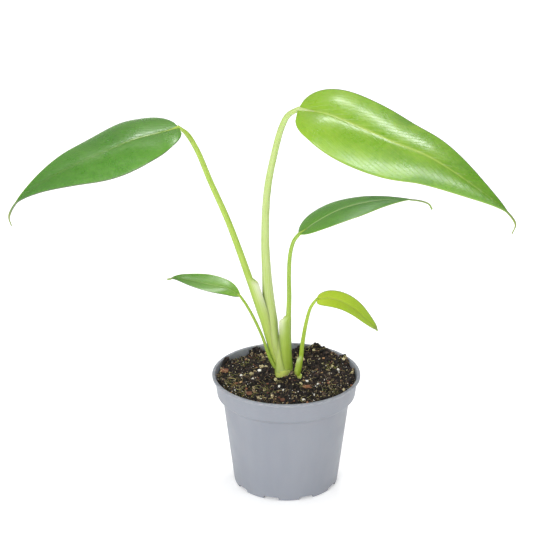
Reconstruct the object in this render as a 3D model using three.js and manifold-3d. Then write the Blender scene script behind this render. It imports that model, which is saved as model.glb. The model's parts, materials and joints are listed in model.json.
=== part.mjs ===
// A young monstera with whole leaves, growing in a nursery pot 12 cm wide.
// Millimetres, +Z up. The origin is the centre of the pot's foot, on the surface that it stands on,
// and the two tall leaves hang to the two sides, along X.
import * as THREE from 'three';
import { mergeVertices } from 'three/addons/utils/BufferGeometryUtils.js';
import Module from 'manifold-3d';

const wasm = await Module();
wasm.setup();

// Clearance kept between pieces that touch.
const GAP = 0.3;

// Pot.
const POT_HEIGHT = 94.5;
const RIM_RADIUS = 60;
const LIP_WIDTH = 2.3;
const LIP_DEPTH = 2.3;
const COLLAR_TOP_RADIUS = 57.9;
const COLLAR_FOOT_RADIUS = 55.9;
const COLLAR_FOOT_HEIGHT = 77.5;
const SHOULDER_RADIUS = 51.3;
const SHOULDER_HEIGHT = 73.5;
const BODY_FOOT_RADIUS = 42.6;
const WALL = 1;
const BASE_RISE = 3;
const BASE_THICKNESS = 1.2;
const FOOT_WIDTH = 2.6;
const FOOT_PAD_RADIUS = 7;
const NOTCH_COUNT = 9;
const NOTCH_WIDTH = 12.5;
const NOTCH_HEIGHT = 2.8;
const FIRST_NOTCH_DEG = -107;
const DRAIN_RADIUS = 33;
const DRAIN_LENGTH = 6;
const DRAIN_WIDTH = 9;
const POT_SECTORS = 45;

// Potting soil.
const SOIL_LEVEL = 89.6;
const SOIL_EDGE_RADIUS = COLLAR_TOP_RADIUS - WALL - 2 * GAP - 0.1;
const SOIL_RINGS = [0.22, 0.4, 0.56, 0.7, 0.83, 0.93, 1];
const SOIL_MOUNDS = [
  { x: 8, y: -36, height: 2, width: 18 },
  { x: -36, y: -24, height: 1.6, width: 12 },
];
// Clumps of soil that stand on the bed: place, height above the bed and radius.
const SOIL_CLUMPS = [
  { x: 27, y: 46, height: 6, radius: 10 },
  { x: 47, y: 28, height: 5, radius: 9 },
  { x: -48, y: 27, height: 3.5, radius: 5.5 },
  { x: -25, y: 47, height: 4, radius: 6 },
  { x: 4.5, y: -3, height: 3.5, radius: 4.5 },
];
const CLUMP_SINK = 1.2;

// Stem and roots.
const CROWN = { x: -2.1, y: 7.1, radius: 7.2, top: 96, foot: 78 };
const SHOOT = { x: 9.6, y: 0, radius: 3.1, top: 92.7 };
const ROOT_RADIUS = 1.5;
const ROOT_TURNS_DEG = [20, 95, 165, 235, 300];
const ROOT_REACH = 34;
const ROOT_DEPTH = 22;
const PETIOLE_FOOT = CROWN.top + GAP;

// A petiole's section has a broad outer side and a narrower inner side.
const OUTER_POINTS = 9;
const INNER_POINTS = 5;
const BLADE_THICKNESS = 0.6;

// Leaves, each clasped by the ones before it. A line's points run from the foot to the blade and from
// the blade's base to its tip. A list of pairs gives a value at each height.
const LEAVES = [
  {
    name: 'tall_right',
    petiole: [
      [-2.4, 7.2, PETIOLE_FOOT], [-6.3, 7.8, 107], [-10.2, 8.4, 122], [-12, 8.8, 137], [-14.3, 9.3, 156],
      [-15.9, 10, 180], [-17, 11, 208], [-15.3, 11, 248], [-10, 10, 278.5], [-4, 8, 302.5], [1, 6, 313],
      [8.5, 4, 318.5],
    ],
    radius: [[96, 3.4], [107, 4.3], [125, 4.6], [137, 4.9], [156, 4.3], [180, 3.6], [210, 3.2], [313, 2.5]],
    facing: -20,
    rings: 25,
    blade: [
      [8.5, 4, 318.5], [30, -4, 318], [54.5, -15, 311.5], [81.5, -30, 304], [108.5, -43, 296.5],
      [140, -58, 280], [165, -68, 261], [172, -72, 252], [169.5, -73, 245],
    ],
    width: 61,
    base: 0.37,
    point: 1.14,
    roll: [28, 50],
    fold: [0.34, 0.02],
    arch: 0.4,
    tip: 0.08,
    tipWidth: 1.1,
    neck: 2.8,
    bladeGrid: [22, 8],
    color: 0x86b83c,
  },
  {
    name: 'tall_left',
    petiole: [
      [-6.9, 7, PETIOLE_FOOT], [-11.5, 7.4, 107], [-15.8, 7.4, 122], [-18.4, 7, 135], [-20.8, 6.6, 145],
      [-23.9, 6.2, 156], [-31.3, 6, 180], [-46, 6, 223.5], [-60.5, 6, 259], [-70, 6, 283.5],
      [-77.5, 5.5, 297], [-84, 4, 303.5],
    ],
    radius: [[96, 0.85], [118, 1], [125, 1.3], [135, 2], [145, 2.8], [160, 3], [200, 2.6], [300, 2.1]],
    facing: 188,
    rings: 26,
    sheath: { top: 177, rise: 8, hollow: [5.2, 3.8], spread: [84, 80], wing: 0.6 },
    blade: [
      [-84, 4, 303.5], [-102.5, -2, 300.5], [-118.5, -9, 298.5], [-142, -20, 292], [-168.5, -32, 283.5],
      [-193, -44, 272.5], [-207.5, -51, 262], [-213, -54, 251.5], [-211.5, -54, 244],
    ],
    width: 56,
    base: 0.38,
    point: 1.38,
    roll: [-2, -50],
    fold: [0.38, 0.02],
    arch: 0.4,
    nearSide: 1.17,
    tip: 0.09,
    tipWidth: 1.1,
    neck: 2.4,
    bladeGrid: [20, 8],
    color: 0x5f9f3e,
  },
  {
    name: 'middle_right',
    petiole: [
      [3.9, 5, PETIOLE_FOOT], [2.6, 4.1, 107], [1.8, 3.2, 120], [1.6, 2.6, 132], [1.8, 2.2, 145],
      [2.2, 2, 160], [2, 1, 182.5], [3, 1, 199], [6, 1, 210], [10, 2, 215],
    ],
    radius: [[96, 1.3], [107, 1.9], [120, 2.2], [135, 2.3], [158, 1.9], [182, 1.7], [213, 1.5]],
    facing: -22,
    rings: 16,
    sheath: { top: 145, rise: 5, hollow: [5.2, 4.8], spread: [75, 88], wing: 0.6 },
    blade: [
      [10, 2, 215], [24, 8, 223.5], [42.5, 15, 231], [64, 22, 234.5], [86.5, 28, 234.5], [106, 32, 232],
      [115, 34, 228], [117.5, 34, 223.5],
    ],
    width: 38.5,
    base: 0.57,
    point: 1.35,
    roll: [-4, 17],
    fold: [0.19, 0.04],
    arch: 0.2,
    nearSide: 0.93,
    tip: 0.15,
    tipWidth: 0.9,
    neck: 2,
    bladeGrid: [16, 6],
    color: 0x4f8f33,
  },
  {
    name: 'small_left',
    petiole: [
      [-8.9, 6.4, PETIOLE_FOOT], [-11.6, 6, 102], [-13.7, 5.8, 107], [-16.6, 5.4, 116], [-19.5, 5, 125],
      [-27, 4, 143], [-32.5, 4, 153.5], [-37, 4, 160.5],
    ],
    radius: [[96, 0.6], [107, 0.9], [118, 1.2], [160, 1.1]],
    facing: 186,
    rings: 12,
    sheath: { top: 121, rise: 8, hollow: [5.6, 5.9], spread: [20, 78], wing: 0.5 },
    blade: [
      [-37, 4, 160.5], [-47, 8, 165.5], [-61.5, 12, 167.5], [-76, 16, 169], [-88, 19, 170], [-96, 20, 169],
    ],
    width: 18.5,
    base: 0.68,
    point: 0.76,
    roll: [-30, -6],
    fold: [0.03, 0.22],
    arch: 0.12,
    nearSide: 1.08,
    tip: 0.045,
    tipWidth: 0.8,
    neck: 1.6,
    bladeGrid: [12, 6],
    color: 0x5b9a35,
  },
  {
    name: 'small_right',
    petiole: [
      [9.6, 0, SHOOT.top + GAP], [10.8, 0, 98], [11.8, 0, 107], [12.9, 0, 119.5], [16, 0, 139.5],
      [19.5, 0, 152.5], [24, 0, 159.5],
    ],
    radius: [[93, 1.6], [107, 1.9], [122, 1.7], [159, 1.2]],
    facing: 0,
    rings: 12,
    sheath: { top: 111, rise: 5, hollow: [1.5, 1.5], spread: [60, 140], wing: 0.7 },
    blade: [
      [24, 0, 159.5], [32.5, -3, 162], [43.5, -7, 161], [54.5, -11, 156], [64.5, -14, 147.5],
      [73, -16, 139.5],
    ],
    width: 18.5,
    base: 0.32,
    point: 0.42,
    roll: [36, -4],
    fold: [0.05, 0.2],
    arch: 0.12,
    tip: 0.02,
    tipWidth: 1.6,
    neck: 1.6,
    bladeGrid: [12, 6],
    color: 0x8fbf40,
  },
];
const PETIOLE_COLOR = 0xa9cf5c;
const SOIL_COLOR = 0x3a2c22;

// Loose pieces on the soil: place, size and turn.
const PERLITE = [
  { x: -21.5, y: 12.5, size: 2.1 }, { x: -36.5, y: 3.5, size: 1.3 }, { x: -27, y: -1, size: 1.3 },
  { x: -5.5, y: -17, size: 1.5 }, { x: -2, y: -25, size: 1.4 }, { x: 26, y: -12, size: 1.7 },
  { x: 42.5, y: 15, size: 1.6 }, { x: 17, y: -6, size: 1.2 }, { x: 13.5, y: -43, size: 1.5 },
];
const BARK = [
  { x: -30, y: -31, length: 6, turn: 25 }, { x: -50, y: 13, length: 7, turn: -50 },
  { x: -40.5, y: -10, length: 5, turn: 80 }, { x: 16.5, y: -18, length: 6.5, turn: 60 },
  { x: -3, y: -43, length: 5.5, turn: -20 },
];

const radians = THREE.MathUtils.degToRad;
const UP = new THREE.Vector3(0, 0, 1);

/** The value at a height in a list of [height, value] pairs. */
function valueAt(pairs, height) {
  const after = pairs.findIndex(([at]) => at >= height);
  if (after === 0) return pairs[0][1];
  if (after < 0) return pairs.at(-1)[1];
  const [low, from] = pairs[after - 1];
  const [high, to] = pairs[after];
  return THREE.MathUtils.mapLinear(height, low, high, from, to);
}

/** A centripetal curve through a list of points. */
function curveThrough(points) {
  return new THREE.CatmullRomCurve3(points.map((p) => new THREE.Vector3(...p)));
}

/** A geometry's surface as a solid that can be joined and cut. */
function toSolid(geometry) {
  const bare = geometry.clone();
  bare.deleteAttribute('normal');
  bare.deleteAttribute('uv');
  const merged = mergeVertices(bare, 1e-4);
  const vertProperties = new Float32Array(merged.getAttribute('position').array);
  const triVerts = new Uint32Array(merged.index.array);
  return new wasm.Manifold(new wasm.Mesh({ numProp: 3, vertProperties, triVerts }));
}

/** A solid's surface as a geometry. */
function toGeometry(solid) {
  const { vertProperties, triVerts } = solid.getMesh();
  const geometry = new THREE.BufferGeometry();
  geometry.setAttribute('position', new THREE.BufferAttribute(vertProperties, 3));
  geometry.setIndex(new THREE.BufferAttribute(triVerts, 1));
  geometry.computeVertexNormals();
  return geometry;
}

/** A closed surface from a list of points and a list of triangles of point numbers. */
function closedSurface(points, triangles) {
  const geometry = new THREE.BufferGeometry().setFromPoints(points);
  geometry.setIndex(triangles.flat());
  geometry.computeVertexNormals();
  return geometry;
}

/** The triangles that join rings of equal size, each ring's points running anticlockwise from above. */
function ringTriangles(ringCount, size) {
  const triangles = [];
  for (let ring = 0; ring < ringCount - 1; ring++) {
    for (let i = 0; i < size; i++) {
      const a = ring * size + i;
      const b = ring * size + ((i + 1) % size);
      triangles.push([a, b, b + size], [a, b + size, a + size]);
    }
  }
  return triangles;
}

/** A closed body through rings of equal size. Each end is given as triangles of its ring's points. */
function loft(rings, startFace, endFace) {
  const size = rings[0].length;
  const last = (rings.length - 1) * size;
  const start = startFace.map(([a, b, c]) => [c, b, a]);
  const end = endFace.map(([a, b, c]) => [a + last, b + last, c + last]);
  return closedSurface(rings.flat(), [...ringTriangles(rings.length, size), ...start, ...end]);
}

/** The triangles that fill an outline. */
function faceOf(outline) {
  return THREE.ShapeUtils.triangulateShape(outline, []);
}

/** The pot's wall and base, turned about Z. */
function potShell() {
  const rimFoot = POT_HEIGHT - LIP_DEPTH;
  const innerRim = RIM_RADIUS - LIP_WIDTH;
  const footInner = BODY_FOOT_RADIUS - 1 - FOOT_WIDTH;
  const inside = BASE_RISE + BASE_THICKNESS;
  const profile = [
    [0, 0], [FOOT_PAD_RADIUS, 0], [FOOT_PAD_RADIUS + 1, BASE_RISE], [footInner, BASE_RISE],
    [footInner + 0.6, 0], [BODY_FOOT_RADIUS - 1, 0], [BODY_FOOT_RADIUS - 0.3, 1],
    [BODY_FOOT_RADIUS, 3], [SHOULDER_RADIUS, SHOULDER_HEIGHT], [COLLAR_FOOT_RADIUS, COLLAR_FOOT_HEIGHT],
    [COLLAR_TOP_RADIUS, rimFoot], [RIM_RADIUS - 0.7, rimFoot + 0.3], [RIM_RADIUS, rimFoot + 1.2],
    [RIM_RADIUS - 0.7, POT_HEIGHT], [innerRim + 0.5, POT_HEIGHT], [innerRim - 0.4, rimFoot + 1.2],
    [COLLAR_TOP_RADIUS - WALL, rimFoot - 1], [COLLAR_FOOT_RADIUS - WALL, COLLAR_FOOT_HEIGHT + 0.4],
    [SHOULDER_RADIUS - WALL, SHOULDER_HEIGHT + 0.6], [soilWallRadius(inside), inside], [0, inside],
  ];
  const points = profile.map(([radius, height]) => new THREE.Vector2(radius, height));
  return new THREE.LatheGeometry(points, POT_SECTORS).rotateX(Math.PI / 2);
}

/** The radius of the body's inner wall at a height below the shoulder. */
function soilWallRadius(height) {
  const outer = THREE.MathUtils.mapLinear(height, 3, SHOULDER_HEIGHT, BODY_FOOT_RADIUS, SHOULDER_RADIUS);
  return outer - WALL;
}

/** The pot, with drainage notches through its foot and a slot through its base behind each. */
function potGeometry() {
  let pot = toSolid(potShell());
  for (let i = 0; i < NOTCH_COUNT; i++) {
    const turn = radians(FIRST_NOTCH_DEG + (i * 360) / NOTCH_COUNT);
    const notch = new THREE.BoxGeometry(4 * FOOT_WIDTH, NOTCH_WIDTH, 2 * NOTCH_HEIGHT)
      .translate(BODY_FOOT_RADIUS - FOOT_WIDTH, 0, 0)
      .rotateZ(turn);
    const drain = new THREE.BoxGeometry(DRAIN_LENGTH, DRAIN_WIDTH, 4 * BASE_RISE)
      .translate(DRAIN_RADIUS, 0, 0)
      .rotateZ(turn);
    pot = pot.subtract(toSolid(notch)).subtract(toSolid(drain));
  }
  return toGeometry(pot);
}

/** The height of the soil's surface at a place. */
function soilHeight(x, y) {
  const lumps = 0.5 * Math.sin(x * 0.31 + 1) * Math.cos(y * 0.27) + 0.4 * Math.sin(x * 0.13 - y * 0.23);
  const mounds = SOIL_MOUNDS.map(
    (m) => m.height * Math.exp(-((x - m.x) ** 2 + (y - m.y) ** 2) / (m.width * m.width)),
  );
  return SOIL_LEVEL + lumps + mounds.reduce((sum, height) => sum + height, 0);
}

/** The soil before anything is cut out of it: the pot's inside up to a lumpy surface. */
function soilBody() {
  const foot = BASE_RISE + BASE_THICKNESS + GAP;
  const ring = (radius, height) =>
    Array.from({ length: POT_SECTORS }, (_, i) => {
      const turn = (i * 2 * Math.PI) / POT_SECTORS - Math.PI / 2;
      const x = radius * Math.cos(turn);
      const y = radius * Math.sin(turn);
      return new THREE.Vector3(x, y, height ?? soilHeight(x, y));
    });
  const rings = [
    ring(soilWallRadius(foot) - GAP, foot),
    ring(SHOULDER_RADIUS - WALL - GAP, SHOULDER_HEIGHT + 0.4),
    ring(COLLAR_FOOT_RADIUS - WALL - GAP, COLLAR_FOOT_HEIGHT + 0.2),
    ...SOIL_RINGS.map((share) => ring(share * SOIL_EDGE_RADIUS)).reverse(),
  ];
  const points = rings.flat();
  const triangles = ringTriangles(rings.length, POT_SECTORS);
  const floor = points.push(new THREE.Vector3(0, 0, foot)) - 1;
  const peak = points.push(new THREE.Vector3(0, 0, soilHeight(0, 0))) - 1;
  const last = (rings.length - 1) * POT_SECTORS;
  for (let i = 0; i < POT_SECTORS; i++) {
    const next = (i + 1) % POT_SECTORS;
    triangles.push([next, i, floor], [last + i, last + next, peak]);
  }
  return toSolid(closedSurface(points, triangles));
}

/** A round tube along a curve, tapering from one radius to another, with flat ends. */
function taperedTube(curve, fromRadius, toRadius, steps, sides) {
  const frames = curve.computeFrenetFrames(steps);
  const circle = Array.from({ length: sides }, (_, i) => {
    const turn = (i * 2 * Math.PI) / sides;
    return new THREE.Vector2(Math.cos(turn), Math.sin(turn));
  });
  const rings = frames.normals.map((normal, step) => {
    const radius = THREE.MathUtils.lerp(fromRadius, toRadius, step / steps);
    const centre = curve.getPointAt(step / steps);
    const binormal = frames.binormals[step];
    return circle.map((p) =>
      centre.clone().addScaledVector(normal, radius * p.x).addScaledVector(binormal, radius * p.y));
  });
  return loft(rings, faceOf(circle), faceOf(circle));
}

/** The short stem, the side shoot's foot and the main roots, as one grown piece. */
function stemAndRoots(grow) {
  const { x, y, radius, top, foot } = CROWN;
  const crown = new THREE.CylinderGeometry(radius + grow, radius * 0.8 + grow, top - foot + 2 * grow, 20)
    .rotateX(Math.PI / 2)
    .translate(x, y, (top + foot) / 2);
  const shoot = curveThrough([
    [x + 3, y - 2, foot + 4], [SHOOT.x - 3, 1.5, foot + 3], [SHOOT.x, SHOOT.y, foot + 8],
    [SHOOT.x, SHOOT.y, SHOOT.top + grow],
  ]);
  let solid = toSolid(crown);
  solid = solid.add(toSolid(taperedTube(shoot, ROOT_RADIUS + grow, SHOOT.radius + grow, 8, 12)));
  ROOT_TURNS_DEG.forEach((degrees, i) => {
    const along = new THREE.Vector2(1, 0).rotateAround(new THREE.Vector2(), radians(degrees));
    const depth = ROOT_DEPTH + 9 * (i % 3);
    const route = curveThrough([
      [x, y, foot + 5], [x + along.x * 9, y + along.y * 9, foot + 1],
      [along.x * ROOT_REACH * 0.7, along.y * ROOT_REACH * 0.7, foot - 14],
      [along.x * ROOT_REACH, along.y * ROOT_REACH, (foot + depth) / 2],
      [along.x * ROOT_REACH * 0.8, along.y * ROOT_REACH * 0.8, depth],
    ]);
    solid = solid.add(toSolid(taperedTube(route, ROOT_RADIUS * 1.3 + grow, ROOT_RADIUS * 0.5 + grow, 9, 7)));
  });
  return solid;
}

/** A leaf blade's curve, and the directions along it, across it and out of its upper face. */
function bladeFrames(leaf) {
  const curve = curveThrough(leaf.blade);
  const rows = leaf.bladeGrid[0];
  const middle = curve.getPointAt(0.5).sub(curve.getPointAt(0)).setZ(0);
  let side = UP.clone().cross(middle).normalize();
  return Array.from({ length: rows + 1 }, (_, row) => {
    const along = row / rows;
    const tangent = curve.getTangentAt(along);
    side = side.clone().addScaledVector(tangent, -side.dot(tangent)).normalize();
    const normal = tangent.clone().cross(side);
    const roll = radians(THREE.MathUtils.lerp(...leaf.roll, along));
    const across = side.clone().multiplyScalar(Math.cos(roll)).addScaledVector(normal, Math.sin(roll));
    const face = normal.clone().multiplyScalar(Math.cos(roll)).addScaledVector(side, -Math.sin(roll));
    return { along, centre: curve.getPointAt(along), tangent, across, face };
  });
}

/** Half the blade's width at a share of its length: a rounded base, a long point and a thread-like tip. */
function bladeHalfWidth(leaf, along) {
  const widest = leaf.base / (leaf.base + leaf.point);
  const share = Math.min(along / (1 - leaf.tip), 1);
  const outline = (share / widest) ** leaf.base * ((1 - share) / (1 - widest)) ** leaf.point;
  const ending = THREE.MathUtils.clamp(((1 - along) / leaf.tip) * 1.5, 0.35, 1);
  const thread = (leaf.tipWidth / 2) * ending * THREE.MathUtils.smoothstep(along, 0, 0.05);
  return Math.max((leaf.width / 2) * outline, thread, (leaf.neck / 2) * (1 - along), 0.2);
}

/** A leaf blade: a thin skin, folded up along its midrib near the base and arched across. */
function bladeGeometry(leaf) {
  const columns = leaf.bladeGrid[1];
  const frames = bladeFrames(leaf);
  const upper = frames.map(({ along, centre, across, face }) => {
    const fold = THREE.MathUtils.lerp(...leaf.fold, THREE.MathUtils.smoothstep(along, 0, 0.5));
    return Array.from({ length: columns + 1 }, (_, column) => {
      const share = (2 * column) / columns - 1;
      const half = bladeHalfWidth(leaf, along) * (share < 0 ? (leaf.nearSide ?? 1) : 1);
      const lift = half * (fold * Math.abs(share) - leaf.arch * share * share);
      return centre.clone().addScaledVector(across, share * half).addScaledVector(face, lift);
    });
  });
  const lower = upper.map((row, i) =>
    row.map((p) => p.clone().addScaledVector(frames[i].face, -BLADE_THICKNESS)));
  const rings = upper.map((row, i) => [...lower[i], ...row.slice().reverse()]);
  const lastPoint = 2 * columns + 1;
  const edgeFace = Array.from({ length: columns }, (_, i) => [
    [i, i + 1, lastPoint - i - 1],
    [i, lastPoint - i - 1, lastPoint - i],
  ]).flat();
  return loft(rings, edgeFace, edgeFace);
}

/** A petiole's section as points along (outward, sideways): round above its sheath, a crescent below. */
function petioleSection(leaf, height, grow) {
  const radius = valueAt(leaf.radius, height) + grow;
  const step = (2 * Math.PI) / (OUTER_POINTS + INNER_POINTS);
  const first = (-step * (OUTER_POINTS - 1)) / 2;
  const round = Array.from({ length: OUTER_POINTS + INNER_POINTS }, (_, i) =>
    new THREE.Vector2(radius * Math.cos(first + i * step), radius * Math.sin(first + i * step)));
  if (!leaf.sheath || height >= leaf.sheath.top) return round;
  const { top, rise, hollow, spread, wing } = leaf.sheath;
  const depth = (top - height) / (top - leaf.petiole[0][2]);
  const inner = THREE.MathUtils.lerp(...hollow, depth);
  const reach = radians(THREE.MathUtils.lerp(...spread, depth)) + grow / inner;
  const clasp = inner + radius - grow;
  const crescent = round.map((_, i) => {
    const outside = i < OUTER_POINTS;
    const share = outside
      ? (2 * i) / (OUTER_POINTS - 1) - 1
      : 1 - (2 * (i - OUTER_POINTS)) / (INNER_POINTS - 1);
    const wall = wing + (2 * (radius - grow) - wing) * Math.cos((share * Math.PI) / 2) ** 1.5;
    const distance = outside ? inner + wall + grow : inner - grow;
    const turn = share * reach;
    return new THREE.Vector2(distance * Math.cos(turn) - clasp, distance * Math.sin(turn));
  });
  const opened = THREE.MathUtils.smoothstep(top - height, 0, rise);
  return round.map((p, i) => p.clone().lerp(crescent[i], opened));
}

/** A petiole and its sheath, from its foot to the base of its blade. */
function petioleSolid(leaf, grow = 0) {
  const curve = curveThrough(leaf.petiole);
  const bladeStart = bladeFrames(leaf)[0].tangent;
  const sideways = new THREE.Vector3(-Math.sin(radians(leaf.facing)), Math.cos(radians(leaf.facing)), 0);
  const sheathTop = leaf.sheath?.top ?? leaf.petiole[0][2] + 40;
  const outlines = [];
  const rings = Array.from({ length: leaf.rings + 1 }, (_, ring) => {
    const along = ring / leaf.rings;
    const centre = curve.getPointAt(along);
    if (ring === leaf.rings) centre.addScaledVector(bladeStart, -GAP);
    const level = 1 - THREE.MathUtils.smoothstep(centre.z, sheathTop - 15, sheathTop + 15);
    const ending = THREE.MathUtils.smoothstep(along, 0.94, 1);
    const axis = curve.getTangentAt(along).lerp(UP, level).lerp(bladeStart, ending).normalize();
    const side = sideways.clone().addScaledVector(axis, -sideways.dot(axis)).normalize();
    const outward = side.clone().cross(axis);
    const section = petioleSection(leaf, centre.z, grow);
    outlines.push(section);
    return section.map((p) => centre.clone().addScaledVector(outward, p.x).addScaledVector(side, p.y));
  });
  return toSolid(loft(rings, faceOf(outlines.at(0)), faceOf(outlines.at(-1))));
}

/** A clump of soil: a low dome sunk a little in the bed, and cut off at the pot's wall. */
function clumpSolid({ x, y, height, radius }, grow = 0) {
  const level = soilHeight(x, y);
  const foot = level - CLUMP_SINK - grow;
  const dome = new THREE.IcosahedronGeometry(1, 2)
    .scale(radius + grow, radius + grow, height + CLUMP_SINK + grow)
    .translate(x, y, level - CLUMP_SINK);
  const room = new THREE.CylinderGeometry(1, 1, 1, POT_SECTORS)
    .rotateX(Math.PI / 2)
    .scale(SOIL_EDGE_RADIUS - 0.1 + 2 * grow, SOIL_EDGE_RADIUS - 0.1 + 2 * grow, 2 * height)
    .translate(0, 0, foot + height);
  return toSolid(dome).intersect(toSolid(room));
}

/** A loose perlite grain: an uneven many-sided crumb, half sunk in the soil. */
function perliteSolid({ x, y, size }, grow = 0) {
  const grain = new THREE.IcosahedronGeometry(size + grow, 0)
    .scale(1.15, 0.9, 0.85)
    .rotateZ(x)
    .translate(x, y, soilHeight(x, y) + size * 0.35);
  return toSolid(grain);
}

/** A loose chip of bark: a thin tapered sliver, lying on the soil. */
function barkSolid({ x, y, length, turn }, grow = 0) {
  const chip = new THREE.CylinderGeometry(length * 0.16 + grow, length * 0.24 + grow, length + 2 * grow, 5)
    .scale(1, 1, 0.55)
    .rotateZ(radians(turn))
    .translate(x, y, soilHeight(x, y) + length * 0.08);
  return toSolid(chip);
}

const group = new THREE.Group();

/** Adds a named mesh with its own material. */
function addMesh(name, geometry, color, roughness) {
  const material = new THREE.MeshStandardMaterial({ color, roughness, metalness: 0, side: THREE.DoubleSide });
  const mesh = new THREE.Mesh(geometry, material);
  mesh.name = name;
  group.add(mesh);
}

addMesh('pot', potGeometry(), 0x9ea2aa, 0.55);
addMesh('stem_and_roots', toGeometry(stemAndRoots(0)), PETIOLE_COLOR, 0.5);

let soil = soilBody().subtract(stemAndRoots(GAP));
const clasped = [];
for (const leaf of LEAVES) {
  let petiole = petioleSolid(leaf);
  for (const inner of clasped) petiole = petiole.subtract(inner);
  const grown = petioleSolid(leaf, GAP);
  clasped.push(grown);
  soil = soil.subtract(grown);
  addMesh(`petiole_${leaf.name}`, toGeometry(petiole), PETIOLE_COLOR, 0.45);
  addMesh(`blade_${leaf.name}`, bladeGeometry(leaf), leaf.color, 0.35);
}

SOIL_CLUMPS.forEach((clump, i) => {
  const settled = clasped.reduce((solid, petiole) => solid.subtract(petiole), clumpSolid(clump));
  soil = soil.subtract(clumpSolid(clump, GAP));
  addMesh(`soil_clump_${i + 1}`, toGeometry(settled.subtract(stemAndRoots(GAP))), SOIL_COLOR, 0.95);
});
PERLITE.forEach((grain, i) => {
  soil = soil.subtract(perliteSolid(grain, GAP));
  addMesh(`perlite_${i + 1}`, toGeometry(perliteSolid(grain)), 0xe9e6dc, 0.9);
});
BARK.forEach((chip, i) => {
  soil = soil.subtract(barkSolid(chip, GAP));
  addMesh(`bark_chip_${i + 1}`, toGeometry(barkSolid(chip)), 0x7a4a30, 0.85);
});
addMesh('potting_soil', toGeometry(soil), SOIL_COLOR, 0.95);

export default group;
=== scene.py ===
"""A young monstera with whole leaves in a grey nursery pot, as a product shot on a pale floor."""

import json
import logging
import math
from dataclasses import dataclass, field
from enum import Enum
from typing import Any, Iterable, Sequence

import bmesh
import bpy
import numpy as np
from mathutils import Matrix, Vector, noise

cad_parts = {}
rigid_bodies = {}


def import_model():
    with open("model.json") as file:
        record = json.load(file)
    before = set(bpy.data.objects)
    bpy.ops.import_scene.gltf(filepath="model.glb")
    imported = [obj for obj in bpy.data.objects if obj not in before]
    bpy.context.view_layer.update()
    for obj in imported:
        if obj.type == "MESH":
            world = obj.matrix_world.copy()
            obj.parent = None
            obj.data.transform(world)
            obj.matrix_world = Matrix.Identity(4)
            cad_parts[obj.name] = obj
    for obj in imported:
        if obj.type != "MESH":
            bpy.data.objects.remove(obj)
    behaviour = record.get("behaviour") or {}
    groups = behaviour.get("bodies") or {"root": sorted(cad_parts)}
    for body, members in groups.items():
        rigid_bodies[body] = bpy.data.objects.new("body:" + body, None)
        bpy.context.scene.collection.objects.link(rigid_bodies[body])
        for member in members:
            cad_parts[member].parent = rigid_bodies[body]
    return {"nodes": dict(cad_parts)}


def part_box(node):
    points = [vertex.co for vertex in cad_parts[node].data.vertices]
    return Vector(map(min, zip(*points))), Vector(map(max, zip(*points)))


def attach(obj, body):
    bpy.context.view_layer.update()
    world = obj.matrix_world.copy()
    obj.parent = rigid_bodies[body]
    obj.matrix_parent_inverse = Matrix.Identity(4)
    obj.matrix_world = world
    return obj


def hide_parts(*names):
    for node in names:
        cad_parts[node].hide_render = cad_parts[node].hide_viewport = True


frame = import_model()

LOG = logging.getLogger("monstera")
MM = 0.001
Array = np.ndarray
Pair = tuple[float, float]
Triple = tuple[float, float, float]


def srgb(red: int, green: int, blue: int) -> tuple[float, float, float, float]:
    """Turns a display colour into the linear colour that a shader takes.

    Args:
        red: Red from 0 to 255.
        green: Green from 0 to 255.
        blue: Blue from 0 to 255.

    Returns:
        The linear red, green, blue and an alpha of 1.
    """

    def linear(value: int) -> float:
        """Turns one screen value into a linear one."""
        share = value / 255
        return share / 12.92 if share <= 0.04045 else ((share + 0.055) / 1.055) ** 2.4

    return (linear(red), linear(green), linear(blue), 1.0)


def smooth(value: Any) -> Any:
    """Eases a number or an array from 0 to 1."""
    held = np.clip(value, 0.0, 1.0)
    return held * held * (3 - 2 * held)


def at_heights(pairs: Sequence[Pair], height: Any) -> Any:
    """Gives the value at a height, or at many, in a list of (height, value) pairs."""
    low, values = zip(*pairs)
    return np.interp(height, low, values)


def unit(vectors: Array) -> Array:
    """Scales each row of an array to length 1."""
    return vectors / np.linalg.norm(vectors, axis=-1, keepdims=True)


def centripetal(points: Sequence[Triple], count: int) -> Array:
    """Samples a centripetal curve through points, at equal steps along its length.

    Args:
        points: The points, in any unit.
        count: How many samples to give.

    Returns:
        An array of count rows.
    """
    knots = np.array(points, float)
    ends = [2 * knots[0] - knots[1]], [2 * knots[-1] - knots[-2]]
    chain = np.concatenate([ends[0], knots, ends[1]])
    fine: list[Array] = []
    for p0, p1, p2, p3 in zip(chain, chain[1:], chain[2:], chain[3:]):
        d0, d1, d2 = (math.sqrt(np.linalg.norm(b - a)) for a, b in ((p0, p1), (p1, p2), (p2, p3)))
        m1 = ((p1 - p0) / d0 - (p2 - p0) / (d0 + d1) + (p2 - p1) / d1) * d1
        m2 = ((p2 - p1) / d1 - (p3 - p1) / (d1 + d2) + (p3 - p2) / d2) * d1
        w = np.linspace(0, 1, 40, endpoint=False)[:, None]
        fine.append(
            p1 + m1 * w + (3 * (p2 - p1) - 2 * m1 - m2) * w**2 + (2 * (p1 - p2) + m1 + m2) * w**3
        )
    line = np.concatenate([*fine, knots[-1:]])
    travelled = np.concatenate([[0], np.cumsum(np.linalg.norm(np.diff(line, axis=0), axis=1))])
    steps = np.linspace(0, travelled[-1], count)
    return np.stack([np.interp(steps, travelled, line[:, k]) for k in range(3)], axis=1)


def ripple(points: Array, scale: float, seed: float) -> Array:
    """Gives smooth noise from -1 to 1 at each row of points.

    Args:
        points: The places.
        scale: Ripples per unit of length.
        seed: An offset that picks another field.

    Returns:
        One value for each place.
    """
    return np.array([noise.noise(Vector(p) * scale + Vector((seed, seed * 1.7, -seed))) for p in points])


# --------------------------------------------------------------------------------------------------
# Meshes


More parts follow.
